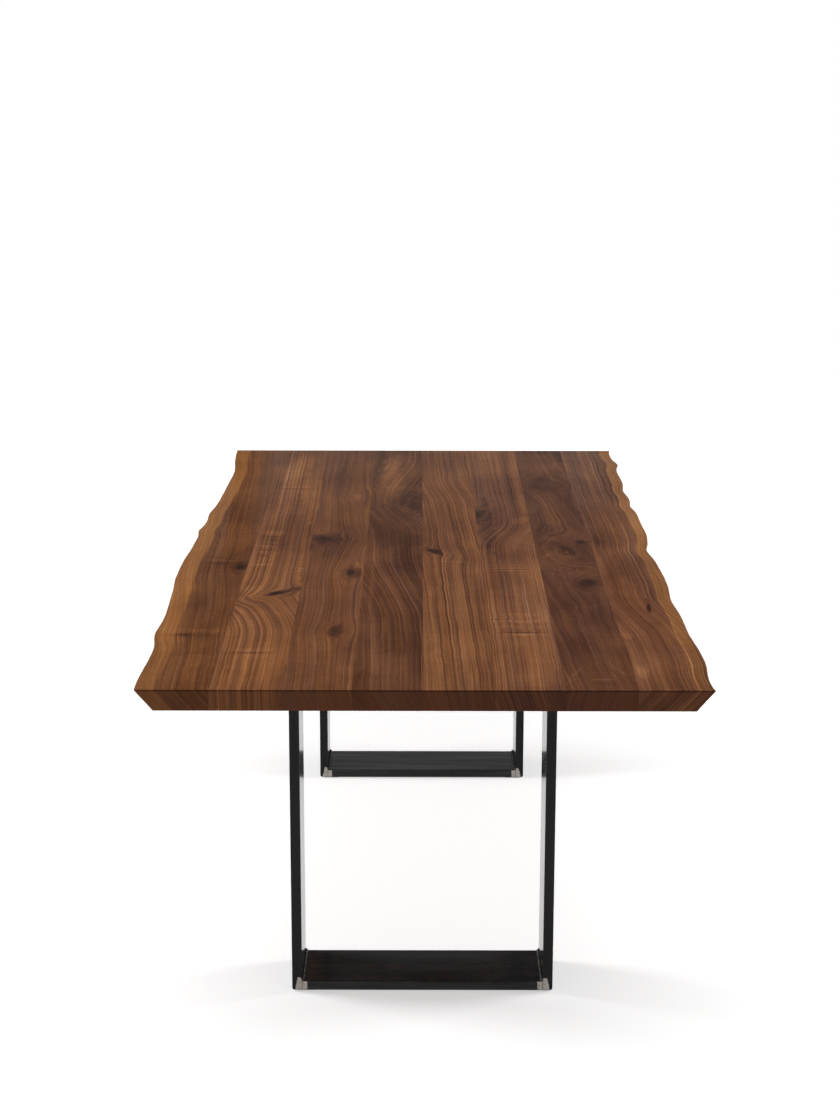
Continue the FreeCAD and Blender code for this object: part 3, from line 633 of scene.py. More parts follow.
# Knots: x, y, half width, half length, slant, darkness. Smears: the same, with a change of tone.
# Ripples: x, y, half width, half length, depth, spacing. Shifts: from y, to y, how far, cut off at y.
# Long smears as wide as a stave are painted light and shade: mostly paler towards the ends, darker in the
# middle.
STAVES = {
    "left_live_edge_stave": {
        "side": -1, "seed": 1.9, "tone": 0.415, "rosy": 0.02, "end": 0.05, "end_lines": 0.8,
        "sway": 8, "swirl": 2.5, "lean": 0.04, "ring": 6.0, "uneven": 1.6,
        "bands": 0.05, "streaks": 0.13, "threads": 0.25, "rings": 0.2,
        "sap": 27, "sap_grow": 1, "sap_near": 0.55, "sap_pale": 1.0, "sap_line": 0.05,
        "knots": ((-389, -214, 14, 36, 0, 0.9),),
        "smears_and_painted_light": (
            (-388, -330, 16, 130, 0, -0.1), (-440, -186, 26, 22, 0, -0.1), (-430, -160, 60, 5, 0, 0.06),
            (-440, -716, 75, 12, 4, 0.09), (-440, -752, 75, 18, 4, -0.1), (-455, -747, 22, 13, 0, -0.16),
            (-396, -722, 8, 26, 4, 0.1), (-420, -874, 45, 5, -6, -0.09), (-420, -560, 30, 250, 12, 0.05),
            (-450, -920, 90, 260, 0, 0.11), (-440, 720, 90, 400, 0, 0.11), (-425, -430, 60, 240, 0, -0.05),
        ),
        "ripples": ((-430, -170, 50, 60, 1, 40),),
    },
    "stave_1": {
        "seed": 2.7, "tone": 0.535, "rosy": 0.34, "end": 0.06, "end_lines": 1.0,
        "sway": 7, "swirl": 2.0, "lean": 0.0, "pith": (-550, 50), "ring": 4.2, "uneven": 1.0,
        "bands": 0.04, "streaks": 0.04, "threads": 0.54, "rings": 0.15,
        "knots": ((-277, -416, 10, 36, 46, 0.55), (-300, -437, 8, 16, 42, 1.0)),
        "smears_and_painted_light": (
            (-296, -432, 18, 30, 44, -0.14), (-270, -445, 18, 42, 15, -0.06),
            (-312, 60, 80, 380, 0, -0.06), (-340, 108, 36, 34, 0, 0.16), (-349, -112, 20, 12, 0, -0.18),
            (-345, -22, 28, 12, 0, 0.1), (-348, -195, 26, 12, 0, 0.15), (-345, 45, 28, 8, 0, -0.08),
            (-345, -65, 28, 8, 0, -0.08), (-322, -868, 54, 8, 0, -0.2), (-322, -848, 54, 8, 0, 0.08),
            (-310, 590, 62, 9, 0, -0.16), (-310, 610, 62, 8, 0, 0.1), (-310, 400, 60, 8, 0, -0.08),
            (-322, 850, 40, 230, 5, 0.12), (-312, 720, 75, 380, 0, 0.09), (-306, -960, 50, 170, 0, 0.1),
            (-286, -1010, 4, 120, 0, 0.14), (-318, -980, 4, 120, 0, 0.12), (-350, -415, 30, 60, 0, 0.12),
            (-340, -458, 38, 2.5, 6, 0.16), (-287, -400, 4, 34, 46, 0.14), (-266, -426, 3.5, 30, 46, 0.12),
            (-261, 207, 6, 22, 10, 0.16), (-258, -235, 6, 28, 8, 0.16), (-258, -310, 5, 24, -8, 0.14),
            (-360, -650, 10, 160, 0, 0.06),
        ),
        "ripples": (
            (-342, -30, 36, 170, 1.0, 41), (-262, -235, 16, 60, 1.2, 30), (-262, 207, 12, 40, 1.2, 28),
        ),
        "shifts": ((-760, -300, 80, -460),),
    },
    "stave_2": {
        "seed": 4.1, "tone": 0.445, "rosy": 0.26, "end": 0.01, "end_lines": 0.4,
        "sway": 14, "swirl": 2.0, "lean": 0.0, "pith": (-260, 120), "ring": 7.0, "uneven": 1.6,
        "bands": 0.1, "streaks": 0.14, "threads": 0.27, "rings": 0.17,
        "knots": (
            (-169, -714, 15, 26, 0, 0.65), (-151, -264, 14, 34, 0, 0.9), (-216, 46, 28, 36, 15, 0.7),
            (-158, 503, 14, 32, 0, 0.0),
        ),
        "smears_and_painted_light": (
            (-170, -752, 14, 24, 0, -0.14), (-184, -704, 3, 26, 8, 0.16), (-156, -708, 3, 22, -8, 0.12),
            (-170, -790, 7, 40, 0, -0.1), (-252, -30, 12, 70, 0, -0.16), (-240, 70, 30, 36, 0, -0.12),
            (-195, 40, 70, 260, 0, -0.07), (-138, -195, 8, 40, -8, 0.14), (-151, -215, 6, 26, 0, -0.12),
            (-158, 503, 10, 26, 0, 0.2), (-152, -325, 7, 40, 0, -0.08), (-190, -930, 75, 230, 0, 0.12),
        ),
    },
    "stave_3": {
        "seed": 5.9, "tone": 0.32, "rosy": 0.25, "end": 0.06, "end_lines": 0.4,
        "sway": 16, "swirl": 2.0, "lean": 0.0, "pith": (-160, 120), "ring": 7.0, "uneven": 1.6,
        "bands": 0.12, "streaks": 0.12, "threads": 0.23, "rings": 0.19,
        "knots": ((-4, 440, 26, 90, 0, 0.1),),
        "smears_and_painted_light": (
            (-24, 470, 30, 130, 0, -0.06), (-82, 700, 40, 380, 0, 0.26), (-26, -100, 40, 300, 0, -0.14),
            (-6, -620, 12, 160, 0, -0.1), (-106, -350, 6, 350, 0, 0.1), (-75, -680, 6, 85, 0, 0.1),
            (-36, -930, 5, 90, 0, 0.1), (-30, 470, 4, 26, 20, 0.18), (-12, 440, 4, 22, -25, 0.18),
            (-40, 410, 4, 24, 28, 0.14), (-50, 850, 60, 300, 0, 0.17), (-60, -930, 60, 220, 0, 0.11),
            (-62, 60, 60, 240, 0, -0.05),
        ),
        "shifts": ((-650, -100, 60, 1200), (120, 420, 50, 1200), (480, 1000, -45, 1200)),
    },
    "stave_4": {
        "seed": 7.7, "tone": 0.53, "rosy": 0.2, "end": -0.13, "end_lines": 0.4,
        "sway": 10, "swirl": 3.5, "lean": 0.02, "pith": (-420, 120), "ring": 6.0, "uneven": 1.6,
        "bands": 0.04, "streaks": 0.07, "threads": 0.56, "rings": 0.16,
        "knots": ((28, -74, 10, 24, -35, 1.0),),
        "smears_and_painted_light": (
            (62, 130, 80, 290, 0, -0.1), (62, 760, 80, 360, 0, 0.03), (62, -60, 75, 95, 0, -0.05),
            (62, -165, 66, 6, 0, 0.1), (67, -735, 1.4, 100, 0, -0.3), (18, -410, 12, 80, 0, 0.12),
            (86, -1030, 3, 75, 0, 0.2), (95, -1020, 2.5, 70, 0, 0.16), (33, -930, 8, 140, 0, 0.08),
            (114, -500, 10, 260, 0, -0.12), (44, -84, 7, 20, -35, 0.18), (20, -60, 20, 40, -35, -0.1),
        ),
        "ripples": ((14, -265, 16, 46, 1.2, 17),),
        "shifts": ((430, 700, 20, 1200),),
    },
    "stave_5": {
        "seed": 9.2, "tone": 0.525, "rosy": 0.53, "end": -0.13, "end_lines": 0.8,
        "sway": 9, "swirl": 2.5, "lean": 0.0, "pith": (-380, 160), "ring": 5.5, "uneven": 1.0,
        "bands": 0.1, "streaks": 0.12, "threads": 0.3, "rings": 0.32,
        "knots": ((132, 300, 14, 60, 5, 0.75),),
        "smears_and_painted_light": (
            (188, 250, 80, 560, 0, -0.12), (148, 90, 26, 210, 0, -0.14), (228, 236, 22, 60, 12, 0.16),
            (165, 330, 30, 90, 20, -0.08), (188, -727, 54, 6, 1, -0.28), (188, -743, 54, 7, 1, 0.14),
            (150, -634, 26, 5, -3, -0.2), (188, -620, 50, 6, 0, 0.08), (190, -550, 52, 4, 0, -0.09),
            (190, -460, 52, 4, 0, -0.08), (188, -700, 50, 18, 0, -0.06), (241, -600, 8, 520, 0, 0.1),
            (150, 440, 16, 80, 0, -0.1), (192, -225, 54, 66, 0, 0.08), (188, -930, 75, 220, 0, 0.05),
            (188, -164, 56, 4, 0, 0.1), (165, -262, 34, 3, 4, -0.12), (170, -282, 30, 3, -4, -0.1),
            (200, -205, 34, 3, 5, -0.08), (188, -450, 75, 230, 0, -0.05),
        ),
        "ripples": ((180, -225, 60, 80, 2.0, 21), (190, -660, 60, 110, 1.2, 44)),
        "shifts": ((-20, 220, -48, 1200),),
    },
    "stave_6": {
        "seed": 11.8, "tone": 0.325, "rosy": 0.46, "end": 0.05, "end_lines": 0.6,
        "sway": 22, "swirl": 5, "lean": 0.05, "pith": (120, 90), "ring": 7.0, "uneven": 1.6,
        "bands": 0.07, "streaks": 0.11, "threads": 0.24, "rings": 0.13,
        "knots": (
            (345, -348, 18, 36, 5, 0.8), (355, 17, 9, 16, 0, 0.75), (318, -60, 42, 95, 0, 0.05),
            (318, 648, 40, 50, 0, 0.0),
        ),
        "smears_and_painted_light": (
            (303, 630, 36, 52, 0, -0.08), (355, 820, 14, 80, 0, -0.08), (295, -640, 55, 200, 0, 0.02),
            (318, -45, 40, 60, 0, -0.1), (290, 52, 18, 34, -20, 0.14), (272, -105, 10, 30, 20, 0.08),
            (330, -190, 30, 90, 15, -0.06), (312, -470, 75, 240, 0, -0.05), (352, -250, 14, 60, 0, 0.08),
            (300, 140, 40, 60, 0, -0.05), (310, 930, 70, 200, 0, 0.15), (270, -1000, 5, 60, 20, 0.12),
            (352, -980, 5, 55, -18, 0.1), (258, -1050, 4, 36, 28, 0.1), (338, -1005, 3, 36, -12, 0.08),
            (312, -30, 9, 110, -16, -0.1), (332, 110, 8, 60, 18, 0.08), (275, 170, 10, 70, 10, -0.08),
            (345, 190, 9, 60, -12, -0.08), (318, -1033, 26, 4, 0, 0.18), (318, -1058, 30, 10, 0, -0.08),
            (312, -830, 1.2, 14, 0, 0.2),
        ),
    },
    "right_live_edge_stave": {
        "side": 1, "seed": 13.4, "tone": 0.49, "rosy": 0.5, "end": 0.03, "end_lines": 0.9,
        "sway": 10, "swirl": 2.5, "lean": 0.0, "ring": 6.5, "uneven": 1.6,
        "bands": 0.12, "streaks": 0.14, "threads": 0.27, "rings": 0.3,
        "sap": 20, "sap_grow": 0, "sap_near": 0.3, "sap_pale": 0.85, "sap_line": 0.16,
        "knots": ((450, -535, 4, 32, 3, 1.0),),
        "smears_and_painted_light": (
            (388, -750, 12, 32, 0, 0.16), (392, -985, 14, 50, 0, 0.14), (421, -320, 9, 45, 0, 0.08),
            (500, 190, 16, 200, 0, 0.12), (490, -857, 26, 4, 0, -0.12), (430, -850, 80, 300, 0, 0.11),
            (392, 20, 14, 60, 0, -0.1), (410, -150, 12, 80, 10, -0.06), (440, 720, 80, 360, 0, -0.07),
        ),
        "shifts": ((-800, -420, 50, 1200),),
    },
}
print("recipes for", ", ".join(STAVES))

# %% [markdown]
# ## Growth distance
# Points with the same growth distance grew in the same year. An outer stave shows where the bark was, so
# its distance is the depth under that edge, which slopes in towards the underside. Deeper in, the rings
# forget the edge's small waves. The other staves have their distance from the pith, so that the same rings
# are arcs on the board's end and long lines on its face.

# %% Growth distances
CURVE_STATIONS = 48
edge_slope = 0.9
waves_fade, waves_lost = (0.01, 0.08), 0.8
pith_rise = 0.012


def bark_distance(graph, place, across, node, side):
    """How deep a point lies under the tree's own edge, which slopes in towards the underside."""
    x, y, z = graph.split(place)
    outline = outlines[node]
    nearest, furthest = min(out for _, out in outline), max(out for _, out in outline)
    curve = graph.node("ShaderNodeFloatCurve")
    line = curve.mapping.curves[0]
    while len(line.points) < CURVE_STATIONS:
        line.points.new(0.5, 0.5)
    for number, point in enumerate(line.points):
        share = number / (CURVE_STATIONS - 1)
        out = outline_at(outline, (2 * share - 1) * half_length)
        point.location = (share, (out - nearest) / (furthest - nearest))
    curve.mapping.update()
    along = graph.math("MULTIPLY_ADD", y, 0.5 / half_length, 0.5)
    graph.feed(curve.inputs["Value"], along)
    edge = graph.math("MULTIPLY_ADD", curve.outputs[0], furthest - nearest, nearest)
    middle = sum(out for _, out in outline) / len(outline)
    inner = graph.fade(graph.minus(edge, graph.times(x, side)), *waves_fade)
    edge = graph.mix(graph.times(inner, waves_lost), edge, middle)
    below = graph.minus(table_top_z, z)
    inset = graph.minus(graph.minus(edge, graph.times(across, side)), graph.times(below, edge_slope))
    return graph.times(inset, 1 / math.hypot(1, edge_slope))


def pith_distance(graph, place, across, node, pith):
    """How far a point lies from the tree's middle, given beside and below the stave's own middle."""
    x, y, z = graph.split(place)
    low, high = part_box(node)
    beside, deep = pith
    sideways = graph.minus(across, (low[0] + high[0]) / 2 + beside * MM)
    upwards = graph.add(graph.minus(z, table_top_z - deep * MM), graph.times(y, pith_rise))
    return graph.hypotenuse(sideways, upwards)


print(f"live edges kept at {CURVE_STATIONS} stations")

# %% [markdown]
# ## Figure of a stave
# The figure is what makes one board different from the next. The recipe's shifts, ripples and knots are
# placed one after another, and each bends the grain that the last one left. Knots and smears also change
# the tone. A ragged noise roughens their borders, so that none looks like a drawn ellipse.

# %% Bend the grain and change the tone
EVERY_DEPTH = 1000.0
cut_half = 4
ripple_tone, halo_tone = 0.045, -0.20
smear_ragged, smear_fades = 0.35, (1.1, 0.3)


def spot_feeds(x, y, half_wide, half_long, slant=0.0):
    """The inputs that say where a knot, smear or ripple lies. It goes through the whole board."""
    return {
        "Centre": (x * MM, y * MM, 0.0),
        "Half_Size": (half_wide * MM, half_long * MM, EVERY_DEPTH),
        "Slant": math.radians(slant),
    }


def figure(graph, place, ragged, recipe):
    """Where the grain has been bent to, how dark knots make the wood, and the change of tone."""
    along = graph.split(place)[1]
    feeds = {"Sway": recipe["sway"] * MM, "Swirl": recipe["swirl"] * MM, "Lean": recipe["lean"]}
    across = graph.use(sway_group, Place=place, Seed=recipe["seed"], **feeds)["Across"]
    dark, shade = 0.0, 0.0
    for from_y, to_y, amount, cut_y in recipe.get("shifts", ()):
        slipped = graph.fade(along, from_y * MM, to_y * MM)
        before_cut = graph.fade(along, (cut_y + cut_half) * MM, (cut_y - cut_half) * MM)
        across = graph.add(across, graph.times(slipped, before_cut, amount * MM))
    for *where, depth, spacing in recipe.get("ripples", ()):
        feeds = spot_feeds(*where)
        del feeds["Slant"]
        feeds.update(Depth=depth * MM, Spacing=spacing * MM, Ragged=ragged)
        rippled = graph.use(ripple_group, Place=place, Across=across, **feeds)
        across = rippled["Across"]
        shade = graph.add(shade, graph.times(rippled["Shade"], ripple_tone * depth))
    for *where, darkness in recipe["knots"]:
        knot = graph.use(knot_group, Place=place, Across=across, Ragged=ragged, **spot_feeds(*where))
        across = knot["Across"]
        dark = graph.larger(dark, graph.times(knot["Core"], darkness))
        shade = graph.add(shade, graph.times(knot["Halo"], halo_tone * darkness))
    # Smears change the tone. The long wide ones are painted light and shade along the top.
    for *where, change in recipe["smears_and_painted_light"]:
        distance = graph.use(spot_group, Place=place, **spot_feeds(*where))["Distance"]
        mask = graph.fade(graph.add(distance, graph.times(ragged, smear_ragged)), *smear_fades)
        shade = graph.add(shade, graph.times(mask, change))
    return across, dark, shade


print(sum(len(recipe["knots"]) for recipe in STAVES.values()), "knots to place")

# %% [markdown]
# ## Oiled walnut
# Each stave gets a material of its own from the groups and its recipe. Oil leaves only a low sheen, so the
# shader's specular level is low, and a slight bump lets the pores catch the light. Sapwood lies under the
# tree's own edge, with a line of tone along its border, and it is weaker towards the near end.

# %% Sapwood
sap_lumps, sap_wander = 3.0, 0.25
sap_border = 0.003
sap_line_fades = (0.0025, 0.0005)
sap_fades = (-1.0, -0.65)


def sapwood(graph, place, node, recipe):
    """How pale the sapwood makes the wood, and the change of tone along its border."""
    x, y, z = graph.split(place)
    width = recipe["sap"] * MM
    wander = graph.swing(graph.times(y, sap_lumps), recipe["seed"], 0.0)
    wander = graph.add(graph.times(wander, sap_wander * width), graph.times(y, recipe["sap_grow"] * MM))
    straight = bark_distance(graph, place, x, node, recipe["side"])
    inside = graph.minus(straight, graph.add(wander, width))
    pale = graph.spread(graph.fade(y, *sap_fades), recipe["sap_near"], 1.0)
    sap = graph.times(graph.fade(inside, sap_border, -sap_border), pale, recipe["sap_pale"])
    return sap, graph.times(graph.fade(graph.size(inside), *sap_line_fades), recipe["sap_line"])


print("sapwood in", ", ".join(outlines))

# %% Walnut for each stave
ragged_lumps = (60.0, 22.0)
rim_shade_fades = (0.0035, 0.0015)
oil_shine = 0.03
pore_bump, pore_depth = 0.35, 0.0004


def walnut(node, recipe):
    """One stave's oiled walnut."""
    material, graph, place = new_material(f"walnut_{node}")
    seed = recipe["seed"]
    x, y, z = graph.split(place)
    ragged = graph.flat_swing(x, y, ragged_lumps, graph.add(z, seed), detail=3.0)
    across, dark, shade = figure(graph, place, ragged, recipe)
    sap = 0.0
    if "side" in recipe:
        growth = bark_distance(graph, place, across, node, recipe["side"])
        sap, border = sapwood(graph, place, node, recipe)
        shade = graph.add(shade, border)
    else:
        growth = pith_distance(graph, place, across, node, recipe["pith"])
    parts = {part.title(): recipe[part] for part in ("uneven", "bands", "streaks", "threads", "rings")}
    ring_width = recipe["ring"] * MM
    lines = graph.use(lines_group, Place=place, Growth=growth, Seed=seed, Ring_Width=ring_width, **parts)
    end = graph.fade(facing_end(graph), *end_fades)
    shade = graph.add(shade, graph.times(end, recipe["end"]))
    line_tone = graph.times(lines["Tone"], graph.spread(end, 1.0, recipe["end_lines"]))
    finish = graph.use(
        colour_group,
        Tone=graph.add(recipe["tone"], line_tone, shade),
        Rosy=recipe["rosy"],
        Hue=lines["Hue"],
        Sapwood=sap,
        Knot=dark,
        Pores=lines["Pores"],
        # Painted shade on the end face within a few millimetres of the top.
        Rim=graph.fade(graph.minus(table_top_z, z), *rim_shade_fades),
    )
    graph.shade(
        Base_Color=finish["Color"],
        Roughness=finish["Roughness"],
        Normal=graph.bump(finish["Height"], pore_bump, pore_depth),
        Specular_IOR_Level=oil_shine,
    )
    return material


def dress(node, material):
    """Gives a CAD piece its finish."""
    slots = nodes[node].data.materials
    slots.clear()
    slots.append(material)


for node, recipe in STAVES.items():
    dress(node, walnut(node, recipe))
print("staves dressed:", len(STAVES))

# %% [markdown]
# ## Live edges with their own surface
# A tree's edge is never as smooth as a drawn curve: once the bark is off, it has long lumps and fine ridges
# that follow the grain. The CAD gives the main wave. Here a copy of each outer stave is cut into small
# faces along that edge, and displaced sideways. Moving points only in X keeps the top and the underside
# flat, and only moving them inwards keeps the stave inside its CAD size.

# %% Copies and selections
merge_within = 1e-5
facing_out, facing_along, facing_up, flat_up = 0.3, 0.9, 0.99, 0.999


def select_only(piece):
    """Selects one piece and makes it the active one."""
    bpy.ops.object.select_all(action="DESELECT")
    piece.select_set(True)
    bpy.context.view_layer.objects.active = piece


def copy_of(node, name):
    """A copy of a CAD piece, with its own mesh and its doubled points merged."""
    piece = bpy.data.objects.new(name, nodes[node].data.copy())
    piece.matrix_world = nodes[node].matrix_world
    bpy.context.scene.collection.objects.link(piece)
    select_only(piece)
    bpy.ops.object.transform_apply(location=True, rotation=True, scale=True)
    bpy.ops.object.mode_set(mode="EDIT")
    bpy.ops.mesh.select_all(action="SELECT")
    bpy.ops.mesh.customdata_custom_splitnormals_clear()
    bpy.ops.mesh.remove_doubles(threshold=merge_within)
    bpy.ops.object.mode_set(mode="OBJECT")
    return piece


def select_faces(piece, wanted):
    """In edit mode, selects the faces whose normal passes a test."""
    bpy.ops.mesh.select_all(action="DESELECT")
    shape = bmesh.from_edit_mesh(piece.data)
    for face in shape.faces:
        if wanted(face.normal):
            face.select_set(True)
    bmesh.update_edit_mesh(piece.data)


def select_top_border(piece, side):
    """In edit mode, selects the edges between the flat top and the live edge."""
    bpy.ops.mesh.select_all(action="DESELECT")
    shape = bmesh.from_edit_mesh(piece.data)
    for edge in shape.edges:
        ups = [face.normal.z > facing_up for face in edge.link_faces]
        outs = [face.normal.x * side > facing_out for face in edge.link_faces]
        if len(ups) == 2 and any(ups) and any(outs):
            edge.select_set(True)
    bmesh.update_edit_mesh(piece.data)


print("copies are merged within", merge_within, "m")


# %% Push points inwards with noise
def displace(piece, name, side, depth, size, stretch):
    """Pushes the grouped points inwards by cloudy noise that is drawn out along the grain."""
    guide = bpy.data.objects.new(f"{name}_guide", None)
    guide.scale = (1.0, stretch, 1.0)
    bpy.context.scene.collection.objects.link(guide)
    clouds = bpy.data.textures.new(name, "CLOUDS")
    clouds.noise_scale = size
    clouds.noise_depth = 2
    modifier = piece.modifiers.new(name, "DISPLACE")
    modifier.texture = clouds
    modifier.texture_coords = "OBJECT"
    modifier.texture_coords_object = guide
    modifier.direction = "X"
    modifier.mid_level = 0.0
    modifier.strength = -side * depth
    modifier.vertex_group = "live_edge"
    bpy.context.view_layer.update()
    bpy.ops.object.modifier_apply(modifier=name)
    bpy.data.objects.remove(guide)
    print(f"{name} up to {depth * 1000:.1f} mm deep")


# %% Model the live edges
edge_step = 0.012
edge_levels = (0.006, 0.012, 0.018, 0.025, 0.031)
edge_round, round_steps = 0.0016, 3
smooth_below = math.radians(35)
full_depth_rise = 2.5
lumps = {"depth": 0.0014, "size": 0.045, "stretch": 2.0}
ridges = {"depth": 0.0009, "size": 0.010, "stretch": 6.0}


def model_live_edge(node, name, side):
    """An outer stave whose live edge has lumps and ridges."""
    piece = copy_of(node, name)

    def on_live_edge(normal):
        return normal.x * side > facing_out and abs(normal.y) < facing_along

    bpy.ops.object.mode_set(mode="EDIT")
    bpy.ops.mesh.select_mode(type="FACE")
    select_faces(piece, lambda normal: normal.z > flat_up)
    bpy.ops.mesh.dissolve_faces()
    for level in edge_levels:
        select_faces(piece, on_live_edge)
        bpy.ops.mesh.bisect(plane_co=(0, 0, table_top_z - level), plane_no=(0, 0, 1))
    for step in range(1, round(2 * half_length / edge_step)):
        select_faces(piece, on_live_edge)
        bpy.ops.mesh.bisect(plane_co=(0, step * edge_step - half_length, 0), plane_no=(0, 1, 0))
    select_faces(piece, on_live_edge)
    bpy.ops.object.mode_set(mode="OBJECT")
    chosen = [vertex.index for vertex in piece.data.vertices if vertex.select]
    group = piece.vertex_groups.new(name="live_edge")
    underside = min(piece.data.vertices[index].co.z for index in chosen)
    for index in chosen:
        height = (piece.data.vertices[index].co.z - underside) / (table_top_z - underside)
        group.add([index], min(1.0, full_depth_rise * height), "REPLACE")
    displace(piece, f"{name}_lumps", side, **lumps)
    displace(piece, f"{name}_ridges", side, **ridges)
    bpy.ops.object.mode_set(mode="EDIT")
    bpy.ops.mesh.select_mode(type="EDGE")
    select_top_border(piece, side)
    bpy.ops.mesh.bevel(offset=edge_round, segments=round_steps, affect="EDGES")
    bpy.ops.mesh.select_all(action="SELECT")
    bpy.ops.mesh.normals_make_consistent(inside=False)
    bpy.ops.object.mode_set(mode="OBJECT")
    bpy.ops.object.shade_smooth_by_angle(angle=smooth_below)
    piece.data.materials.clear()
    piece.data.materials.append(nodes[node].data.materials[0])
    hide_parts(node)
    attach(piece, "root")
    print(name, len(piece.data.polygons), "faces")


model_live_edge("left_live_edge_stave", "left_live_edge", -1)
model_live_edge("right_live_edge_stave", "right_live_edge", 1)

# %% [markdown]
# ## Blackened steel
# The legs are hot-rolled flat bar. Its mill scale is a thin black skin with cloudy patches and rolling
# streaks along the bar. The rolled edges are rubbed a little paler. What faces up on the bars is painted a
# paler, bluish grey in cloudy patches: partly a film of dust, partly a painted sheen where those faces
# would mirror the bright studio. Where the butt welds were ground flush at the corners, bare metal shows
# as ragged grey patches that lean out. One group makes these masks, and two materials turn the streaks
# along the uprights and along the bars. The bars also have a clear lacquer, which lies in streaks.

# %% Mill scale and rubbed edges
upright_low, upright_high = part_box("front_leg_right_upright")
joint_x = upright_low[0]
loop_low, loop_high = upright_low[2], upright_high[2]
scale_tones = ((0.25, srgb(15, 15, 15)), (0.55, srgb(29, 29, 29)), (0.85, srgb(50, 50, 49)))
rubbed_grey = srgb(84, 83, 80)
dust_and_sheen_grey = srgb(104, 119, 126)
rubbed_share = 0.6
cloud_lumps, spot_lumps = (8.0, 8.0, 8.0), (95.0, 95.0, 95.0)
cloud_share, streak_share, spot_share = 0.35, 0.55, 0.10
arris_fades, rubbed_fades = (0.99, 0.85), (0.35, 0.7)
dust_and_sheen_fades, dust_and_sheen_patches = (0.8, 0.98), (0.7, 1.2)

scale_group, graph, given = new_group(
    "mill_scale",
    ("Place", "Along", "Dust", "Coat"),
    ("Color", "Roughness", "Metallic", "Coat", "Height"),
)
place = given["Place"]
x, y, z = graph.split(place)
cloud = graph.noise_over(place, cloud_lumps, detail=5.0, roughness=0.62)
spotty = graph.noise_over(place, spot_lumps, detail=3.0)
streaks = graph.noise_over(place, given["Along"], detail=3.0)
scale_mix = graph.add(
    graph.times(cloud, cloud_share),
    graph.times(streaks, streak_share),
    graph.times(spotty, spot_share),
)
normal_x, normal_y, normal_z = graph.normal()
facing_y = graph.size(normal_y)
squareness = graph.larger(graph.larger(graph.size(normal_x), facing_y), graph.size(normal_z))
rubbed = graph.times(graph.fade(squareness, *arris_fades), graph.fade(spotty, *rubbed_fades))
# Up-facing faces are painted paler and bluish: a film of dust and a painted sheen.
dust_and_sheen = graph.times(graph.fade(normal_z, *dust_and_sheen_fades), graph.spread(cloud, *dust_and_sheen_patches), given["Dust"])
print(f"loops {loop_high - loop_low:.3f} m high, joints {joint_x:.3f} m from the middle")

# %% Ground weld patches
patch_inner, patch_outer, patch_lean = 0.0105, 0.0150, 0.22
patch_height, patch_step = 0.0200, 0.0075
step_width = 0.003
patch_ragged, patch_fades = 0.16, (1.0, 0.92)
patch_lumps, scratch_lumps = (130.0, 60.0, 130.0), (260.0, 60.0, 900.0)
flat_face_fades = (0.8, 0.95)
ground_tones = ((0.2, srgb(112, 107, 102)), (0.5, srgb(158, 152, 146)), (0.8, srgb(196, 190, 184)))

beside = graph.minus(graph.size(x), joint_x)
above = graph.math("MINIMUM", graph.minus(z, loop_low), graph.minus(loop_high, z))
ragged = graph.math("MULTIPLY_ADD", graph.noise_over(place, patch_lumps, detail=3.0), 2.0, -1.0)
outwards = graph.over(graph.add(beside, graph.times(above, patch_lean)), patch_outer)
inwards = graph.over(graph.times(beside, -1.0), patch_inner)
step_up = graph.times(graph.fade(beside, 0.0, step_width), patch_step)
upwards = graph.over(above, graph.add(step_up, patch_height))
reach = graph.larger(graph.larger(outwards, inwards), upwards)
reach = graph.add(reach, graph.times(ragged, patch_ragged))
ground = graph.times(graph.fade(reach, *patch_fades), graph.fade(facing_y, *flat_face_fades))
slanting = graph.node("ShaderNodeCombineXYZ", {0: x, 1: y, 2: graph.add(z, x)}).outputs[0]
scratched = graph.noise_over(slanting, scratch_lumps)
print(f"ground patches {patch_height * 1000:.0f} mm high")

# %% Blackened steel
scale_bump, scale_depth = 0.3, 0.0001
coat_roughness, coat_fades = 0.12, (0.35, 0.65)
scale_roughness, spot_roughness, ground_roughness = (0.05, 0.20), 0.04, 0.14
spot_height, streak_height, ground_height = 0.5, 0.4, -0.8
ground_metal = 0.75

colour = graph.blend(dust_and_sheen, graph.ramp(scale_mix, scale_tones), dust_and_sheen_grey)
colour = graph.blend(graph.times(rubbed, rubbed_share), colour, rubbed_grey)
colour = graph.blend(ground, colour, graph.ramp(scratched, ground_tones))
rougher = graph.add(graph.times(spotty, spot_roughness), graph.times(ground, ground_roughness))
height = graph.add(graph.times(spotty, spot_height), graph.times(streaks, streak_height))
finish_group(
    graph,
    Color=colour,
    Roughness=graph.add(graph.spread(scale_mix, *scale_roughness), rougher),
    Metallic=graph.times(ground, ground_metal),
    Coat=graph.times(graph.fade(streaks, *coat_fades), given["Coat"]),
    Height=graph.add(height, graph.times(ground, ground_height)),
)


def blackened(name, along, shine, dust_sheen, coat):
    """Blackened steel whose rolling streaks are drawn out along one axis."""
    material, graph, place = new_material(name)
    skin = graph.use(scale_group, Place=place, Along=along, Dust=dust_sheen, Coat=coat)
    graph.shade(
        Base_Color=skin["Color"],
        Roughness=skin["Roughness"],
        Metallic=skin["Metallic"],
        Normal=graph.bump(skin["Height"], scale_bump, scale_depth),
        Specular_IOR_Level=shine,
    )
    if coat:
        graph.shade(Coat_Weight=skin["Coat"], Coat_Roughness=coat_roughness)
    return material


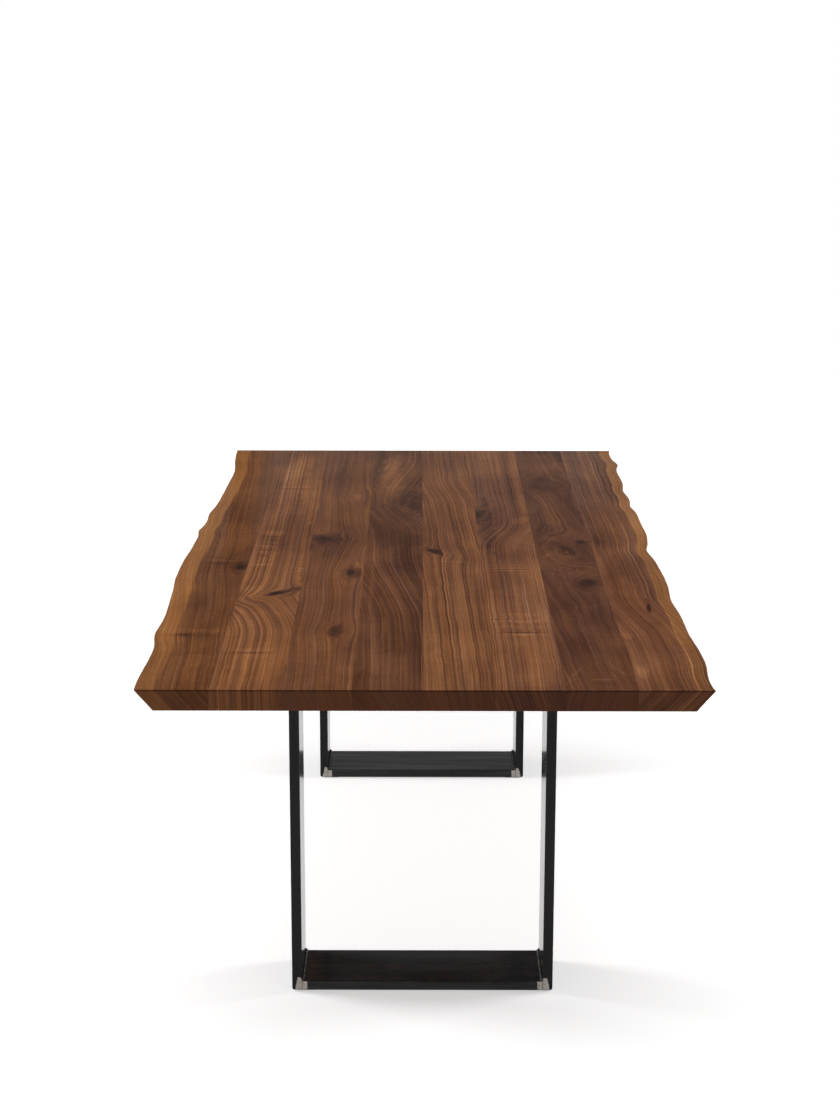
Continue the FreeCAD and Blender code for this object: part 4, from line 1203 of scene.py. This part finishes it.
upright_steel = blackened("blackened_steel_upright", (80.0, 80.0, 5.0), shine=0.155, dust_sheen=0.0, coat=0.0)
bar_steel = blackened("blackened_steel_bar", (4.0, 60.0, 60.0), shine=0.20, dust_sheen=0.16, coat=0.42)
for end in ("front", "rear"):
    for bar in ("left_upright", "right_upright"):
        dress(f"{end}_leg_{bar}", upright_steel)
    for bar in ("foot_bar", "top_bar"):
        dress(f"{end}_leg_{bar}", bar_steel)
print("steel:", upright_steel.name, bar_steel.name)

# %% [markdown]
# ## Weld beads
# A weld bead is laid as a row of overlapping puddles, which leaves ripples like a stack of coins. The CAD
# has a plain rounded fillet. Here one bead is drawn as an outline in the corner and extruded in short steps
# that swell and shrink, always about the corner itself, so that its two legs stay on the bars. It is then
# mirrored to the other corners and joined into one piece for each leg.

# %% Model one weld bead
bead_low, bead_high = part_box("front_leg_weld_beads")
bead_start, bead_end = bead_low[1], bead_high[1]
bead_leg = 0.006
corner = Vector((joint_x, bead_start, bead_low[2]))
bead_outline = ((0.0, 0.0), (0.0, 0.94), (0.22, 0.87), (0.43, 0.72), (0.62, 0.52), (0.82, 0.27), (1.0, 0.0))
ripple_sizes = (0.86, 0.93, 0.98, 1.0, 0.96)
ripple_pitch = 0.0036
hand_swing, hand_rhythm = 0.03, 0.37
crater_steps, crater_size = 4, 0.9
smooth_bead_below = math.radians(60)

bpy.ops.object.select_all(action="DESELECT")
bpy.ops.mesh.primitive_circle_add(vertices=len(bead_outline), radius=bead_leg, fill_type="NGON")
bead = bpy.context.object
bead.name = "weld_bead"
for vertex, (beside, above) in zip(bead.data.vertices, bead_outline):
    vertex.co = corner + Vector((-beside * bead_leg, 0.0, above * bead_leg)) * ripple_sizes[0]
bpy.ops.object.mode_set(mode="EDIT")
bpy.ops.mesh.select_all(action="SELECT")
ripple_step = ripple_pitch / len(ripple_sizes)
last_size = ripple_sizes[0]
steps = round((bead_end - bead_start) / ripple_step)
for step in range(1, steps + 1):
    size = ripple_sizes[step % len(ripple_sizes)]
    size *= 1.0 - hand_swing * math.sin(step * hand_rhythm) ** 2
    if step > steps - crater_steps:
        size *= crater_size
    move = {"value": (0.0, (bead_end - bead_start) / steps, 0.0)}
    bpy.ops.mesh.extrude_region_move(TRANSFORM_OT_translate=move)
    change = size / last_size
    bpy.ops.transform.resize(value=(change, 1.0, change), center_override=corner)
    last_size = size
bpy.ops.mesh.select_all(action="SELECT")
bpy.ops.mesh.normals_make_consistent(inside=False)
bpy.ops.object.mode_set(mode="OBJECT")
bpy.ops.object.shade_smooth_by_angle(angle=smooth_bead_below)
print("bead", len(bead.data.polygons), "faces")


# %% Mirror a bead to another corner
def mirrored_bead(flip_x, flip_y, flip_z):
    """A copy of the bead in another corner, with its faces turned outwards again."""
    select_only(bead)
    bpy.ops.object.duplicate()
    copy = bpy.context.object
    copy.scale = [-1.0 if flip else 1.0 for flip in (flip_x, flip_y, flip_z)]
    copy.location.z = loop_low + loop_high if flip_z else 0.0
    bpy.ops.object.transform_apply(location=True, rotation=True, scale=True)
    bpy.ops.object.mode_set(mode="EDIT")
    bpy.ops.mesh.select_all(action="SELECT")
    bpy.ops.mesh.normals_make_consistent(inside=False)
    bpy.ops.object.mode_set(mode="OBJECT")
    return copy


print("beads are mirrored about z", (loop_low + loop_high) / 2)

# %% [markdown]
# ## Weld metal
# A bead is sooty at its sides. Its crest is painted bright grey in specks over a faint line: a painted
# highlight where the round bead would catch the light. The crest is where a point lies as far from the
# upright as from the bar, so the mask needs only those two distances.

# %% Weld metal
weld_tones = ((0.3, srgb(14, 14, 14)), (0.7, srgb(38, 37, 36)))
crest_highlight_grey = srgb(186, 184, 180)
crest_fades, speck_fades, least_crest_highlight = (0.0022, 0.0006), (0.46, 0.62), 0.15
soot_lumps, speck_lumps = (150.0, 150.0, 150.0), (90.0, 190.0, 90.0)
soot_roughness, crest_highlight_metal = (0.28, 0.48), 0.5

weld_material, graph, place = new_material("weld_metal")
x, y, z = graph.split(place)
sooty = graph.noise_over(place, soot_lumps, detail=3.0)
specks = graph.fade(graph.noise_over(place, speck_lumps, detail=1.0), *speck_fades)
beside = graph.minus(joint_x, graph.size(x))
above = graph.math("MINIMUM", graph.minus(z, bead_low[2]), graph.minus(bead_high[2], z))
crest = graph.fade(graph.size(graph.minus(beside, above)), *crest_fades)
# Painted highlight along the crest, in specks.
painted_crest_highlight = graph.times(crest, graph.spread(specks, least_crest_highlight, 1.0))
graph.shade(
    Base_Color=graph.blend(painted_crest_highlight, graph.ramp(sooty, weld_tones), crest_highlight_grey),
    Roughness=graph.spread(sooty, *soot_roughness),
    Metallic=graph.times(painted_crest_highlight, crest_highlight_metal),
)
print("finish", weld_material.name)

# %% Join the beads of each leg
for end, flip_y in (("front", False), ("rear", True)):
    copies = [mirrored_bead(flip_x, flip_y, flip_z) for flip_x in (False, True) for flip_z in (False, True)]
    bpy.ops.object.select_all(action="DESELECT")
    for copy in copies:
        copy.select_set(True)
    bpy.context.view_layer.objects.active = copies[0]
    bpy.ops.object.join()
    welds = bpy.context.object
    welds.name = f"{end}_leg_weld_ripples"
    welds.data.materials.append(weld_material)
    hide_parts(f"{end}_leg_weld_beads")
    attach(welds, "root")
    print(welds.name, len(welds.data.polygons), "faces")
bpy.data.objects.remove(bead)

# %% [markdown]
# ## Small fittings
# Under the top there are stiffening channels with a black powder coat, zinc-plated bolts, washers and
# screws, and felt strips under the feet. Brass inserts and beech dowels sit inside the wood. Powder coat has
# a fine orange-peel skin, zinc has soft bright and dull grains, felt is a tangle of fibres, and beech shows
# short flecks. Each is a noise of another size and stretch.

# %% Finishes for the fittings
fitting_bump = 0.6


def fitting(name, lumps, tones, rough, metallic=0.0, relief=0.0001, detail=3.0):
    """A finish from one noise: its tones, how rough it is and how deep it shows."""
    material, graph, place = new_material(name)
    grain = graph.noise_over(place, lumps, detail=detail)
    graph.shade(
        Base_Color=graph.ramp(grain, tones),
        Roughness=graph.spread(grain, *rough),
        Normal=graph.bump(grain, fitting_bump, relief),
        Metallic=metallic,
    )
    return material


channel_tones = ((0.3, srgb(24, 24, 25)), (0.7, srgb(38, 38, 39)))
zinc_tones = ((0.3, srgb(150, 152, 156)), (0.7, srgb(196, 198, 202)))
brass_tones = ((0.3, srgb(165, 132, 70)), (0.7, srgb(205, 172, 104)))
beech_tones = ((0.3, srgb(188, 148, 108)), (0.7, srgb(220, 184, 142)))
felt_tones = ((0.3, srgb(30, 30, 32)), (0.7, srgb(62, 62, 64)))
powder_coat = fitting("powder_coat", (900.0, 900.0, 900.0), channel_tones, (0.45, 0.6))
zinc = fitting("zinc_plate", (160.0, 160.0, 160.0), zinc_tones, (0.28, 0.45), metallic=0.9)
brass = fitting("brass", (120.0, 120.0, 120.0), brass_tones, (0.25, 0.4), metallic=1.0)
beech = fitting("beech", (60.0, 900.0, 900.0), beech_tones, (0.5, 0.65))
felt = fitting("felt", (700.0, 700.0, 1400.0), felt_tones, (0.9, 1.0), relief=0.0006, detail=6.0)

finishes = {
    ("_channel",): powder_coat,
    ("_bolts", "_washers", "_screws"): zinc,
    ("_inserts",): brass,
    ("_dowels",): beech,
    ("_glides",): felt,
}
for endings, finish in finishes.items():
    fittings = [node for node in nodes if node.endswith(endings)]
    for node in fittings:
        dress(node, finish)
    print(finish.name, "on", len(fittings), "pieces")
